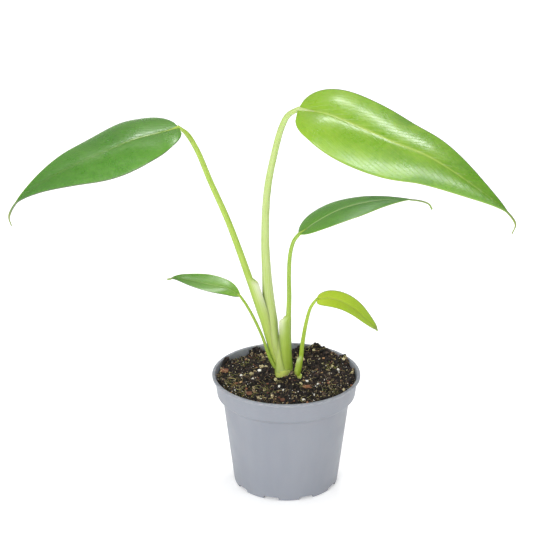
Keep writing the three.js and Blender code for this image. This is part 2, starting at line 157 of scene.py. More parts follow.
def mesh_piece(
    name: str,
    points: Array,
    faces: Iterable[Sequence[int]],
    values: dict[str, Array] | None = None,
    sharp_deg: float = 40.0,
) -> bpy.types.Object:
    """Makes a smooth-shaded mesh object at the origin.

    Args:
        name: The piece's name.
        points: Vertex positions in metres.
        faces: Vertex numbers of each face.
        values: Named float values for each vertex.
        sharp_deg: Edges that bend more than this stay sharp.

    Returns:
        The new object, linked to the scene.
    """
    mesh = bpy.data.meshes.new(name)
    mesh.from_pydata([tuple(p) for p in points], [], [tuple(f) for f in faces])
    for key, numbers in (values or {}).items():
        layer = mesh.attributes.new(key, "FLOAT", "POINT")
        layer.data.foreach_set("value", np.asarray(numbers, np.float32).ravel())
    mesh.validate()
    shade(mesh, sharp_deg)
    piece = bpy.data.objects.new(name, mesh)
    bpy.context.scene.collection.objects.link(piece)
    return piece


def shade(mesh: bpy.types.Mesh, sharp_deg: float) -> None:
    """Shades a mesh smooth, and leaves edges sharp where they bend more than an angle."""
    work = bmesh.new()
    work.from_mesh(mesh)
    for face in work.faces:
        face.smooth = True
    limit = math.radians(sharp_deg)
    for edge in work.edges:
        edge.smooth = not edge.is_manifold or edge.calc_face_angle(0.0) < limit
    work.to_mesh(mesh)
    work.free()


def ring_faces(rings: int, size: int, first_cap: bool = True, last_cap: bool = True) -> list[tuple[int, ...]]:
    """Joins closed rings of equal size into a skin.

    Args:
        rings: How many rings there are.
        size: How many points each ring has, anticlockwise as seen from the last ring's side.
        first_cap: Whether the first ring is filled with one face.
        last_cap: Whether the last ring is filled with one face.

    Returns:
        The faces.
    """
    faces: list[tuple[int, ...]] = []
    for ring in range(rings - 1):
        for i in range(size):
            a, b = ring * size + i, ring * size + (i + 1) % size
            faces.append((a, b, b + size, a + size))
    if first_cap:
        faces.append(tuple(reversed(range(size))))
    if last_cap:
        faces.append(tuple(range((rings - 1) * size, rings * size)))
    return faces


def rounded(profile: Sequence[Triple], steps: int = 5) -> list[Pair]:
    """Rounds the corners of an outline.

    Args:
        profile: Corners as (radius, height, rounding radius).
        steps: Points on each rounded corner, less one.

    Returns:
        The outline's points.
    """
    out: list[Pair] = []
    for i, (x, y, rounding) in enumerate(profile):
        if rounding <= 0 or i in (0, len(profile) - 1):
            out.append((x, y))
            continue
        here = Vector((x, y))
        before = Vector(profile[i - 1][:2]) - here
        after = Vector(profile[i + 1][:2]) - here
        half = before.angle(after) / 2
        reach = min(rounding / math.tan(half), 0.48 * before.length, 0.48 * after.length)
        start, end = here + before.normalized() * reach, here + after.normalized() * reach
        for step in range(steps + 1):
            w = step / steps
            out.append(tuple((1 - w) ** 2 * start + 2 * w * (1 - w) * here + w**2 * end))
    return out


def evaluated_copy(source: bpy.types.Object, name: str) -> bpy.types.Object:
    """Turns an object with modifiers into a plain mesh object, and removes the first object.

    Args:
        source: The object to read.
        name: The new object's name.

    Returns:
        The plain object.
    """
    bpy.context.view_layer.update()
    graph = bpy.context.evaluated_depsgraph_get()
    mesh = bpy.data.meshes.new_from_object(source.evaluated_get(graph), depsgraph=graph)
    bpy.data.objects.remove(source, do_unlink=True)
    mesh.name = name
    piece = bpy.data.objects.new(name, mesh)
    bpy.context.scene.collection.objects.link(piece)
    return piece


def install(
    piece: bpy.types.Object, material: bpy.types.Material | None, nodes: Sequence[str] = ()
) -> None:
    """Dresses a piece, lets it ride on the plant's one body and hides the CAD nodes that it replaces.

    Args:
        piece: The finished piece.
        material: Its material, or None if its mesh already has one.
        nodes: The CAD nodes that it replaces.
    """
    if material is not None:
        piece.data.materials.clear()
        piece.data.materials.append(material)
    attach(piece, "root")
    if nodes:
        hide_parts(*nodes)
    LOG.info("%s: %d faces", piece.name, len(piece.data.polygons))


# --------------------------------------------------------------------------------------------------
# Node trees


class Graph:
    """Adds nodes to one tree, and links them."""

    def __init__(self, tree: bpy.types.NodeTree) -> None:
        """Keeps the tree."""
        self.tree = tree

    def add(self, kind: str, **settings: Any) -> bpy.types.Node:
        """Adds a node of a kind, with its settings."""
        node = self.tree.nodes.new(kind)
        for key, value in settings.items():
            setattr(node, key, value)
        return node

    def feed(self, socket: bpy.types.NodeSocket, value: Any) -> None:
        """Links a socket to another, or gives it a plain value."""
        if isinstance(value, bpy.types.NodeSocket):
            self.tree.links.new(value, socket)
        else:
            socket.default_value = value

    def maths(self, operation: str, first: Any, second: Any = 0.0, clamp: bool = False) -> Any:
        """Adds a Math node and gives its output."""
        node = self.add("ShaderNodeMath", operation=operation, use_clamp=clamp)
        self.feed(node.inputs[0], first)
        self.feed(node.inputs[1], second)
        return node.outputs[0]

    def remap(self, value: Any, low: float, high: float, to_low: float = 0.0, to_high: float = 1.0) -> Any:
        """Adds a clamped, eased Map Range node and gives its output."""
        node = self.add("ShaderNodeMapRange", interpolation_type="SMOOTHSTEP")
        for socket, given in zip(node.inputs, (value, low, high, to_low, to_high)):
            self.feed(socket, given)
        return node.outputs[0]

    def blend(self, factor: Any, first: Any, second: Any, mode: str = "MIX") -> Any:
        """Adds a colour Mix node and gives its output."""
        node = self.add("ShaderNodeMix", data_type="RGBA", blend_type=mode)
        self.feed(node.inputs[0], factor)
        self.feed(node.inputs[6], first)
        self.feed(node.inputs[7], second)
        return node.outputs[2]

    def ramp(self, factor: Any, stops: Sequence[tuple[float, tuple[float, ...]]],
             mode: str = "LINEAR") -> Any:
        """Adds a colour ramp and gives its output."""
        node = self.add("ShaderNodeValToRGB")
        node.color_ramp.interpolation = mode
        elements = node.color_ramp.elements
        while len(elements) < len(stops):
            elements.new(0.5)
        for element, (position, colour) in zip(elements, stops):
            element.position = position
            element.color = colour
        self.feed(node.inputs[0], factor)
        return node.outputs[0]

    def noise(self, place: Any, scale: float, detail: float = 3.0, rough: float = 0.55,
              bend: float = 0.0) -> Any:
        """Adds a Noise Texture and gives its factor."""
        node = self.add("ShaderNodeTexNoise")
        self.feed(node.inputs["Vector"], place)
        node.inputs["Scale"].default_value = scale
        node.inputs["Detail"].default_value = detail
        node.inputs["Roughness"].default_value = rough
        node.inputs["Distortion"].default_value = bend
        return node.outputs[0]

    def value_of(self, name: str) -> Any:
        """Reads a named float attribute of the piece."""
        return self.add("ShaderNodeAttribute", attribute_name=name).outputs["Fac"]

    def place(self, x: float = 1.0, y: float = 1.0, z: float = 1.0) -> Any:
        """Gives object coordinates, stretched along each axis."""
        source = self.add("ShaderNodeTexCoord").outputs["Object"]
        node = self.add("ShaderNodeMapping")
        node.inputs["Scale"].default_value = (x, y, z)
        self.feed(node.inputs["Vector"], source)
        return node.outputs[0]

    def vector(self, x: Any, y: Any, z: Any = 0.0) -> Any:
        """Joins three numbers into a vector."""
        node = self.add("ShaderNodeCombineXYZ")
        for socket, given in zip(node.inputs, (x, y, z)):
            self.feed(socket, given)
        return node.outputs[0]

    def bump(self, height: Any, strength: float, distance: float) -> Any:
        """Adds a Bump node and gives its normal."""
        node = self.add("ShaderNodeBump")
        node.inputs["Strength"].default_value = strength
        node.inputs["Distance"].default_value = distance
        self.feed(node.inputs["Height"], height)
        return node.outputs[0]

    def group(self, tree: bpy.types.NodeTree, **values: Any) -> bpy.types.Node:
        """Places a shared group and feeds its named inputs."""
        node = self.add("ShaderNodeGroup", node_tree=tree)
        for key, value in values.items():
            self.feed(node.inputs[key.replace("_", " ")], value)
        return node


def new_group(
    name: str, kind: str, inputs: Sequence[tuple[str, str]], outputs: Sequence[tuple[str, str]]
) -> tuple[Graph, Any, Any]:
    """Makes an empty node group with named sockets.

    Args:
        name: The group's name.
        kind: ShaderNodeTree or GeometryNodeTree.
        inputs: Names and socket types of the inputs.
        outputs: Names and socket types of the outputs.

    Returns:
        Its graph, its input node and its output node.
    """
    tree = bpy.data.node_groups.new(name, kind)
    for label, socket in inputs:
        tree.interface.new_socket(name=label, in_out="INPUT", socket_type=socket)
    for label, socket in outputs:
        tree.interface.new_socket(name=label, in_out="OUTPUT", socket_type=socket)
    graph = Graph(tree)
    return graph, graph.add("NodeGroupInput"), graph.add("NodeGroupOutput")


def new_material(name: str) -> tuple[bpy.types.Material, Graph, bpy.types.Node]:
    """Makes a node material with one Principled shader.

    Args:
        name: The material's name.

    Returns:
        The material, its graph and the shader node.
    """
    material = bpy.data.materials.new(name)
    material.use_nodes = True
    graph = Graph(material.node_tree)
    shader = material.node_tree.nodes["Principled BSDF"]
    return material, graph, shader


class SharedGroups:
    """Node groups that more than one finish uses, each built once."""

    def __init__(self) -> None:
        """Builds every group."""
        self.mottle = self._mottle()
        self.veins = self._veins()

    def _mottle(self) -> bpy.types.NodeTree:
        """Builds soft two-scale colour variation.

        Returns:
            A group with inputs Place, Base, Other, Scale and Amount, and outputs Color and Mask.
        """
        graph, given, out = new_group(
            "soft_mottle",
            "ShaderNodeTree",
            [("Place", "NodeSocketVector"), ("Base", "NodeSocketColor"), ("Other", "NodeSocketColor"),
             ("Scale", "NodeSocketFloat"), ("Amount", "NodeSocketFloat")],
            [("Color", "NodeSocketColor"), ("Mask", "NodeSocketFloat")],
        )
        broad = graph.add("ShaderNodeTexNoise")
        fine = graph.add("ShaderNodeTexNoise")
        for node, factor in ((broad, 1.0), (fine, 5.3)):
            graph.feed(node.inputs["Vector"], given.outputs["Place"])
            graph.feed(node.inputs["Scale"], graph.maths("MULTIPLY", given.outputs["Scale"], factor))
            node.inputs["Detail"].default_value = 4
        both = graph.maths("ADD", graph.maths("MULTIPLY", broad.outputs[0], 0.65),
                           graph.maths("MULTIPLY", fine.outputs[0], 0.35))
        mask = graph.remap(both, 0.38, 0.62)
        share = graph.maths("MULTIPLY", mask, given.outputs["Amount"])
        graph.feed(out.inputs["Color"], graph.blend(share, given.outputs["Base"], given.outputs["Other"]))
        graph.feed(out.inputs["Mask"], mask)
        return graph.tree

    def _veins(self) -> bpy.types.NodeTree:
        """Builds a leaf's vein pattern from a place on its blade, in millimetres.

        Returns:
            A group with inputs Across, Along, Half, Spacing and Place, and outputs Midrib, Lines,
            Fine, Margin and Height.
        """
        graph, given, out = new_group(
            "leaf_veins",
            "ShaderNodeTree",
            [("Across", "NodeSocketFloat"), ("Along", "NodeSocketFloat"), ("Half", "NodeSocketFloat"),
             ("Spacing", "NodeSocketFloat"), ("Place", "NodeSocketVector")],
            [("Midrib", "NodeSocketFloat"), ("Lines", "NodeSocketFloat"), ("Fine", "NodeSocketFloat"),
             ("Margin", "NodeSocketFloat"), ("Height", "NodeSocketFloat")],
        )
        reach = graph.maths("ABSOLUTE", given.outputs["Across"])
        share = graph.maths("DIVIDE", reach, graph.maths("MAXIMUM", given.outputs["Half"], 0.3))
        rib_width = graph.maths("ADD", graph.maths("MULTIPLY", given.outputs["Half"], 0.026), 0.12)
        rib = graph.maths("DIVIDE", reach, rib_width)
        midrib = graph.remap(rib, 1.5, 0.5)
        sweep = graph.maths("MULTIPLY", reach, 2.3)
        curl = graph.maths("MULTIPLY", graph.maths("POWER", share, 2.2), given.outputs["Half"])
        back = graph.maths("ADD", sweep, graph.maths("MULTIPLY", curl, 1.1))
        jitter = graph.maths("MULTIPLY", graph.noise(given.outputs["Place"], 35.0, 1.0), 3.0)
        travelled = graph.maths("ADD", graph.maths("SUBTRACT", given.outputs["Along"], back), jitter)

        def lines(spacing: Any, sharpness: float) -> Any:
            """Gives lines across the blade, as wide as the sharpness says."""
            phase = graph.maths("FRACT", graph.maths("DIVIDE", travelled, spacing))
            off = graph.maths("ABSOLUTE", graph.maths("SUBTRACT", phase, 0.5))
            return graph.remap(off, sharpness, 0.0)

        coarse = lines(given.outputs["Spacing"], 0.075)
        fine = lines(graph.maths("DIVIDE", given.outputs["Spacing"], 4.0), 0.3)
        fade = graph.remap(share, 1.0, 0.75)
        margin = graph.remap(graph.maths("SUBTRACT", given.outputs["Half"], reach), 0.9, 0.25)
        height = graph.maths("SUBTRACT", graph.maths("MULTIPLY", midrib, 0.6),
                             graph.maths("MULTIPLY", graph.maths("MULTIPLY", coarse, fade), 0.55))
        height = graph.maths("SUBTRACT", height, graph.maths("MULTIPLY", fine, 0.12))
        for key, socket in (("Midrib", midrib), ("Lines", graph.maths("MULTIPLY", coarse, fade)),
                            ("Fine", fine), ("Margin", margin), ("Height", height)):
            graph.feed(out.inputs[key], socket)
        return graph.tree


# --------------------------------------------------------------------------------------------------
# Finishes


@dataclass(frozen=True)
class LeafFinish:
    """A living leaf blade: half gloss, with paler veins and a thin margin darkened by painted shade along one
    edge, a painted highlight towards its base and painted shade towards its tip.
    """

    name: str
    body: tuple[float, ...]
    pale: tuple[float, ...]
    deep: tuple[float, ...]
    midrib: tuple[float, ...]
    # Painted shade: the dark grey margin on one edge of each blade, the far edge of the tall right leaf.
    painted_shade_margin: tuple[float, ...] = srgb(92, 88, 84)
    near_margin: tuple[float, ...] = srgb(140, 160, 66)
    tip: tuple[float, ...] = srgb(134, 150, 62)
    rib_reach: Pair = (0.9, 0.3)
    spacing: float = 9.0
    rough: float = 0.3

    def build(self, shared: SharedGroups) -> bpy.types.Material:
        """Builds the material.

        Args:
            shared: The node groups that finishes share.

        Returns:
            The material.
        """
        material, graph, shader = new_material(self.name)
        place = graph.place()
        veins = graph.group(
            shared.veins, Across=graph.value_of("across"), Along=graph.value_of("along"),
            Half=graph.value_of("half"), Spacing=self.spacing, Place=place,
        )
        blotch = graph.group(shared.mottle, Place=place, Base=self.body, Other=self.pale, Scale=55.0,
                             Amount=0.55)
        shadow = graph.noise(place, 28.0, 3.0)
        colour = graph.blend(graph.remap(shadow, 0.5, 0.72, 0.0, 0.6), blotch.outputs["Color"], self.deep)
        colour = graph.blend(graph.maths("MULTIPLY", veins.outputs["Fine"], 0.16), colour, self.pale)
        colour = graph.blend(graph.maths("MULTIPLY", veins.outputs["Lines"], 0.5), colour, self.pale)
        share = graph.value_of("share")
        # Painted shade darkens each blade towards its tip, and a painted highlight pales it towards its base.
        colour = graph.blend(graph.remap(share, 0.3, 1.0, 0.0, 0.8), colour, self.deep)
        colour = graph.blend(graph.remap(share, 0.35, 0.0, 0.0, 0.6), colour, self.pale)
        rib = graph.maths("MULTIPLY", veins.outputs["Midrib"], graph.remap(share, *self.rib_reach, 0.1, 0.75))
        colour = graph.blend(rib, colour, self.midrib)
        # One side of the margin takes the painted shade colour, the other the near margin colour.
        edge = graph.blend(graph.remap(graph.value_of("across"), -1.0, 1.0), self.near_margin,
                           self.painted_shade_margin)
        colour = graph.blend(graph.maths("MULTIPLY", veins.outputs["Margin"], 0.8), colour, edge)
        colour = graph.blend(graph.remap(share, 0.9, 0.97), colour, self.tip)
        under = graph.remap(graph.value_of("under"), 0.4, 0.6, 0.0, 0.45)
        graph.feed(shader.inputs["Base Color"], graph.blend(under, colour, self.pale))
        grain = graph.noise(place, 700.0, 2.0)
        gloss = graph.maths("ADD", self.rough, graph.maths("MULTIPLY", blotch.outputs["Mask"], 0.12))
        graph.feed(shader.inputs["Roughness"], gloss)
        dapple = graph.noise(place, 150.0, 4.0, 0.62)
        relief = graph.maths("ADD", veins.outputs["Height"],
                             graph.maths("ADD", graph.maths("MULTIPLY", dapple, 1.6),
                                         graph.maths("MULTIPLY", grain, 0.3)))
        graph.feed(shader.inputs["Normal"], graph.bump(relief, 0.6, 0.0004))
        shader.inputs["Coat Weight"].default_value = 0.35
        shader.inputs["Coat Roughness"].default_value = 0.24
        shader.inputs["Subsurface Weight"].default_value = 0.25
        shader.inputs["Subsurface Radius"].default_value = (0.6, 1.0, 0.15)
        shader.inputs["Subsurface Scale"].default_value = 0.0015
        shader.inputs["Specular IOR Level"].default_value = 0.7
        return material


@dataclass(frozen=True)
class StalkFinish:
    """A living stalk: satin, striped along its length, whitish where its sheath thins out, and darkened by
    painted shade on the sides that turn from view.
    """

    name: str
    body: tuple[float, ...]
    pale: tuple[float, ...]
    foot: tuple[float, ...]
    # edge: the colour of the painted shade on the sides that turn from view.
    edge: tuple[float, ...]
    membrane: tuple[float, ...] = srgb(222, 224, 200)

    def build(self, shared: SharedGroups) -> bpy.types.Material:
        """Builds the material.

        Args:
            shared: The node groups that finishes share.

        Returns:
            The material.
        """
        material, graph, shader = new_material(self.name)
        along, around = graph.value_of("along"), graph.value_of("around")
        lines = graph.vector(graph.maths("MULTIPLY", around, 26.0), graph.maths("MULTIPLY", along, 0.02))
        stripe = graph.noise(lines, 1.0, 4.0, 0.6)
        colour = graph.blend(graph.remap(stripe, 0.38, 0.64), self.body, self.pale)
        low = graph.remap(graph.value_of("height"), 175.0, 105.0)
        colour = graph.blend(graph.maths("MULTIPLY", low, 0.65), colour, self.foot)
        blotch = graph.group(shared.mottle, Place=graph.place(), Base=colour, Other=self.pale,
                             Scale=90.0, Amount=0.3)
        # Painted shade: where the stalk's sides turn from view they are blended towards the darker edge
        # colour.
        turned = graph.add("ShaderNodeLayerWeight").outputs["Facing"]
        with_painted_side_shade = graph.blend(graph.remap(turned, 0.35, 0.95, 0.0, 0.75), blotch.outputs["Color"], self.edge)
        thin = graph.value_of("membrane")
        graph.feed(shader.inputs["Base Color"],
                   graph.blend(graph.maths("MULTIPLY", thin, 0.8), with_painted_side_shade, self.membrane))
        graph.feed(shader.inputs["Roughness"], graph.remap(stripe, 0.3, 0.7, 0.34, 0.5))
        fine = graph.noise(graph.vector(graph.maths("MULTIPLY", around, 90.0),
                                        graph.maths("MULTIPLY", along, 0.05)), 1.0, 3.0)
        graph.feed(shader.inputs["Normal"], graph.bump(graph.maths("ADD", stripe, fine), 0.35, 0.0003))
        shader.inputs["Subsurface Weight"].default_value = 0.5
        shader.inputs["Subsurface Radius"].default_value = (0.8, 1.0, 0.4)
        shader.inputs["Subsurface Scale"].default_value = 0.005
        return material


@dataclass(frozen=True)
class MouldedPlastic:
    """Matt moulded polypropylene, a little scuffed at its lip and dusty under it."""

    name: str = "pot_plastic"
    body: tuple[float, ...] = srgb(132, 136, 145)
    worn: tuple[float, ...] = srgb(164, 165, 170)
    dust: tuple[float, ...] = srgb(112, 103, 96)

    def build(self, shared: SharedGroups) -> bpy.types.Material:
        """Builds the material.

        Args:
            shared: The node groups that finishes share.

        Returns:
            The material.
        """
        material, graph, shader = new_material(self.name)
        place = graph.place()
        flow = graph.group(shared.mottle, Place=graph.place(1.0, 1.0, 0.25), Base=self.body,
                           Other=self.worn, Scale=22.0, Amount=0.12)
        lip = graph.value_of("lip")
        scratch = graph.noise(graph.place(1.0, 1.0, 6.0), 260.0, 4.0, 0.65)
        worn = graph.maths("MULTIPLY", graph.remap(scratch, 0.46, 0.6), graph.maths("MULTIPLY", lip, 0.75))
        colour = graph.blend(worn, flow.outputs["Color"], self.worn)
        speck = graph.noise(place, 900.0, 2.0)
        dirty = graph.maths("MULTIPLY", graph.remap(speck, 0.6, 0.72), graph.value_of("inside"))
        colour = graph.blend(graph.maths("MULTIPLY", dirty, 0.8), colour, self.dust)
        graph.feed(shader.inputs["Base Color"], colour)
        graph.feed(shader.inputs["Roughness"],
                   graph.remap(graph.noise(place, 60.0, 4.0), 0.3, 0.7, 0.42, 0.56))
        relief = graph.maths("ADD", graph.maths("MULTIPLY", graph.noise(place, 1400.0, 2.0), 0.25),
                             graph.maths("ADD", graph.noise(place, 45.0, 2.0), worn))
        graph.feed(shader.inputs["Normal"], graph.bump(relief, 0.25, 0.0004))
        shader.inputs["Subsurface Weight"].default_value = 0.05
        shader.inputs["Subsurface Scale"].default_value = 0.002
        return material


@dataclass(frozen=True)
class CrumbFinish:
    """A loose natural material whose pieces differ in tone."""

    name: str
    tones: tuple[tuple[float, tuple[float, ...]], ...]
    rough: float = 0.82
    grain: float = 1800.0
    relief: float = 0.5

    def build(self) -> bpy.types.Material:
        """Builds the material.

        Returns:
            The material.
        """
        material, graph, shader = new_material(self.name)
        place = graph.place()
        speckle = graph.noise(place, self.grain, 3.0)
        tone = graph.maths("ADD", graph.value_of("tone"),
                           graph.maths("MULTIPLY", graph.maths("SUBTRACT", speckle, 0.5), 0.5), clamp=True)
        graph.feed(shader.inputs["Base Color"], graph.ramp(tone, self.tones))
        graph.feed(shader.inputs["Roughness"], graph.remap(speckle, 0.3, 0.7, self.rough - 0.12, self.rough))
        graph.feed(shader.inputs["Normal"], graph.bump(speckle, self.relief, 0.0003))
        return material


@dataclass(frozen=True)
class SoilFinish:
    """Moist peat: dark, crumbly, with reddish, tan and mossy parts."""

    name: str = "peat_bed"

    def build(self, shared: SharedGroups) -> bpy.types.Material:
        """Builds the material.

        Args:
            shared: The node groups that finishes share.

        Returns:
            The material.
        """
        material, graph, shader = new_material(self.name)
        place = graph.place()
        cell = graph.add("ShaderNodeTexVoronoi")
        graph.feed(cell.inputs["Vector"], place)
        cell.inputs["Scale"].default_value = 700.0
        fleck = graph.add("ShaderNodeSeparateColor")
        graph.feed(fleck.inputs[0], cell.outputs["Color"])
        colour = graph.ramp(fleck.outputs[0], (
            (0.0, srgb(16, 12, 10)), (0.4, srgb(32, 25, 21)), (0.75, srgb(52, 41, 34)),
            (0.92, srgb(80, 62, 48)), (1.0, srgb(140, 120, 88)),
        ))
        patch = graph.group(shared.mottle, Place=place, Base=colour, Other=srgb(52, 40, 33), Scale=70.0,
                            Amount=0.7)
        mossy = graph.maths("MULTIPLY", graph.value_of("moss"), graph.remap(fleck.outputs[1], 0.3, 0.9))
        graph.feed(shader.inputs["Base Color"],
                   graph.blend(graph.maths("MULTIPLY", mossy, 0.7), patch.outputs["Color"], srgb(78, 88, 36)))
        shader.inputs["Roughness"].default_value = 0.92
        relief = graph.maths("ADD", cell.outputs["Distance"], graph.noise(place, 900.0, 4.0, 0.7))
        graph.feed(shader.inputs["Normal"], graph.bump(relief, 0.9, 0.0012))
        return material


@dataclass(frozen=True)
class PaleFloor:
    """A plain pale studio floor."""

    name: str = "pale_floor"

    def build(self) -> bpy.types.Material:
        """Builds the material.

        Returns:
            The material.
        """
        material, graph, shader = new_material(self.name)
        tint = graph.noise(graph.place(), 3.0, 2.0)
        graph.feed(shader.inputs["Base Color"],
                   graph.blend(graph.remap(tint, 0.3, 0.7), srgb(250, 250, 250), srgb(252, 252, 252)))
        shader.inputs["Roughness"].default_value = 0.85
        shader.inputs["Emission Color"].default_value = (1.0, 1.0, 1.0, 1.0)
        shader.inputs["Emission Strength"].default_value = 0.22
        return material


# --------------------------------------------------------------------------------------------------
# Pot


@dataclass
class NurseryPot:
    """The thin moulded pot: a tapered body, a collar, a rolled lip and a notched foot."""

    collar_top: float = 57.9
    collar_foot: Pair = (55.9, 77.5)
    shoulder: Pair = (51.3, 73.5)
    body_foot: float = 42.6
    lip_width: float = 2.3
    lip_depth: float = 2.3
    wall: float = 1.0
    base_rise: float = 3.0
    base_thickness: float = 1.2
    foot_width: float = 2.6
    pad_radius: float = 7.0
    notch_count: int = 9
    notch_width: float = 12.5
    notch_height: float = 2.8
    first_notch_deg: float = -107.0
    drain_radius: float = 33.0
    drain_size: Pair = (6.0, 9.0)
    sectors: int = 270
    height: float = field(init=False)
    rim: float = field(init=False)

    def __post_init__(self) -> None:
        """Takes the pot's height and rim from its CAD node."""
        low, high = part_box("pot")
        self.height = high[2] / MM
        self.rim = (high[0] - low[0]) / 2 / MM

    def profile(self) -> list[Pair]:
        """Gives the section from the middle of the base, round the lip, and back inside.

        Returns:
            Points as (radius, height) in millimetres.
        """
        lip_foot, inside = self.height - self.lip_depth, self.base_rise + self.base_thickness
        lip_inner = self.rim - self.lip_width
        ring_inner = self.body_foot - 1 - self.foot_width
        shoulder, collar, wall = self.shoulder, self.collar_foot, self.wall
        inner_foot = self.body_foot - wall + 0.15
        return rounded([
            (0, 0, 0), (self.pad_radius, 0, 0.3), (self.pad_radius + 1, self.base_rise, 0.4),
            (ring_inner, self.base_rise, 0.4), (ring_inner + 0.6, 0, 0.4), (self.body_foot - 0.6, 0, 1.4),
            (self.body_foot, 3.5, 1.0), (shoulder[0], shoulder[1], 0.5), (collar[0], collar[1], 1.4),
            (self.collar_top, lip_foot - 0.2, 0.5), (self.rim, lip_foot + 0.1, 0.7),
            (self.rim, self.height, 0.9),
            (lip_inner - 0.1, self.height, 0.8), (self.collar_top - wall, lip_foot - 0.9, 0.6),
            (collar[0] - wall, collar[1] + 0.4, 1.2), (shoulder[0] - wall, shoulder[1] + 0.6, 0.8),
            (inner_foot, inside, 1.0), (0, inside, 0),
        ])

    def shell(self) -> bpy.types.Object:
        """Turns the section round the pot's axis.

        Returns:
            The whole pot, still without its notches and slots.
        """
        section = self.profile()
        turns = np.linspace(0, 2 * math.pi, self.sectors, endpoint=False)
        rows = section[1:-1]
        points = [(r * math.cos(t) * MM, r * math.sin(t) * MM, z * MM) for r, z in rows for t in turns]
        faces = ring_faces(len(rows), self.sectors, False, False)
        bottom, top = len(points), len(points) + 1
        points += [(0, 0, section[0][1] * MM), (0, 0, section[-1][1] * MM)]
        last = (len(rows) - 1) * self.sectors
        for i in range(self.sectors):
            j = (i + 1) % self.sectors
            faces += [(j, i, bottom), (last + i, last + j, top)]
        return mesh_piece("pot_shell", np.array(points), faces)

    def cutters(self) -> bpy.types.Object:
        """Makes the rounded blocks that cut the notches and the drainage slots.

        Returns:
            The blocks, in one object that is not in the scene.
        """
        work = bmesh.new()
        for i in range(self.notch_count):
            turn = Matrix.Rotation(math.radians(self.first_notch_deg + i * 360 / self.notch_count), 4, "Z")
            blocks = (
                (self.body_foot - self.foot_width, 4 * self.foot_width, self.notch_width,
                 2 * self.notch_height),
                (self.drain_radius, self.drain_size[0], self.drain_size[1], 4 * self.base_rise),
            )
            for radius, length, width, depth in blocks:
                place = turn @ Matrix.Translation((radius * MM, 0, 0))
                size = Matrix.Diagonal((length * MM, width * MM, depth * MM, 1))
                made = bmesh.ops.create_cube(work, size=1, matrix=place @ size)
                edges = {e for v in made["verts"] for e in v.link_edges}
                bmesh.ops.bevel(work, geom=list(edges), offset=1.1 * MM, segments=4, affect="EDGES",
                                profile=0.5)
        mesh = bpy.data.meshes.new("pot_cutters")
        work.to_mesh(mesh)
        work.free()
        return bpy.data.objects.new("pot_cutters", mesh)

    def build(self, shared: SharedGroups) -> None:
        """Builds the pot and dresses it.

        Args:
            shared: The node groups that finishes share.
        """
        shell, cutters = self.shell(), self.cutters()
        bpy.context.scene.collection.objects.link(cutters)
        cut = shell.modifiers.new("notches", "BOOLEAN")
        cut.object, cut.operation, cut.solver = cutters, "DIFFERENCE", "EXACT"
        pot = evaluated_copy(shell, "nursery_pot")
        bpy.data.objects.remove(cutters, do_unlink=True)
        mesh = pot.data
        count = len(mesh.vertices)
        places = np.empty(count * 3, np.float32)
        mesh.vertices.foreach_get("co", places)
        places = places.reshape(-1, 3) / MM
        radius, height = np.hypot(places[:, 0], places[:, 1]), places[:, 2]
        lip = smooth((height - self.height + 3.2) / 1.2)
        edge = np.interp(height, (0, *[p[1] for p in (self.shoulder, self.collar_foot)], self.height),
                         (self.body_foot, self.shoulder[0], self.collar_foot[0], self.collar_top))
        inside = smooth((edge - 0.5 - radius) / 0.3) * (height > 10)
        for name, values in (("lip", lip), ("inside", inside)):
            layer = mesh.attributes.new(name, "FLOAT", "POINT")
            layer.data.foreach_set("value", values.astype(np.float32))
        shade(mesh, 38)
        install(pot, MouldedPlastic().build(shared), ["pot"])


# --------------------------------------------------------------------------------------------------
# Soil and what lies on it


@dataclass(frozen=True)
class Mound:
    """A heap or a patch on the soil, in millimetres."""

    x: float
    y: float
    height: float
    width: float

    def share(self, x: Any, y: Any) -> Any:
        """Gives how far up the heap a place is, from 0 to 1."""
        return np.exp(-((x - self.x) ** 2 + (y - self.y) ** 2) / self.width**2)


HEAPS = (
    Mound(27, 47, 9, 8), Mound(48, 28, 8, 7), Mound(-51, 26, 8, 6), Mound(-25, 48, 6, 5),
    Mound(5.2, -3.6, 5.4, 3.4), Mound(39, 40, 4.5, 7), Mound(14, 54, 3, 6), Mound(55, 9, 3, 7),
)
MOUNDS = (*HEAPS, Mound(8, -36, 2, 18), Mound(-36, -24, 1.6, 12), Mound(-3, -6, 1.2, 10))
MOSS = (
    Mound(-47, 2, 1, 9), Mound(-18, -25, 1, 6), Mound(35, -25, 1, 7), Mound(-36, 30, 1, 6),
    Mound(-21, 36, 1, 6), Mound(36, 22, 1, 7), Mound(-33, -28, 1, 9), Mound(-45, -12, 1, 7),
)
SOIL_LEVEL = 89.6
ANY_WAY_UP = 3.1
LYING = 0.5


def soil_height(x: Any, y: Any) -> Any:
    """Gives the height of the soil's broad shape at a place, in millimetres."""
    lumps = 0.5 * np.sin(x * 0.31 + 1) * np.cos(y * 0.27) + 0.4 * np.sin(x * 0.13 - y * 0.23)
    return SOIL_LEVEL + lumps + sum(m.height * m.share(x, y) for m in MOUNDS)


class Loose(Enum):
    """The kinds of loose stuff strewn over the soil."""

    CRUMB = "crumb"
    CLOD = "clod"
    FIBRE = "fibre"
    MOSS = "moss"
    GRIT = "grit"
    FLAKE = "flake"


@dataclass(frozen=True)
class Strewing:
    """How one kind of loose stuff is strewn: sizes in millimetres, tilt in radians."""

    kind: Loose
    density: float
    size: Pair
    seed: int
    cover: str
    tilt: float
    lift: float
    slot: str
    variants: int = 4


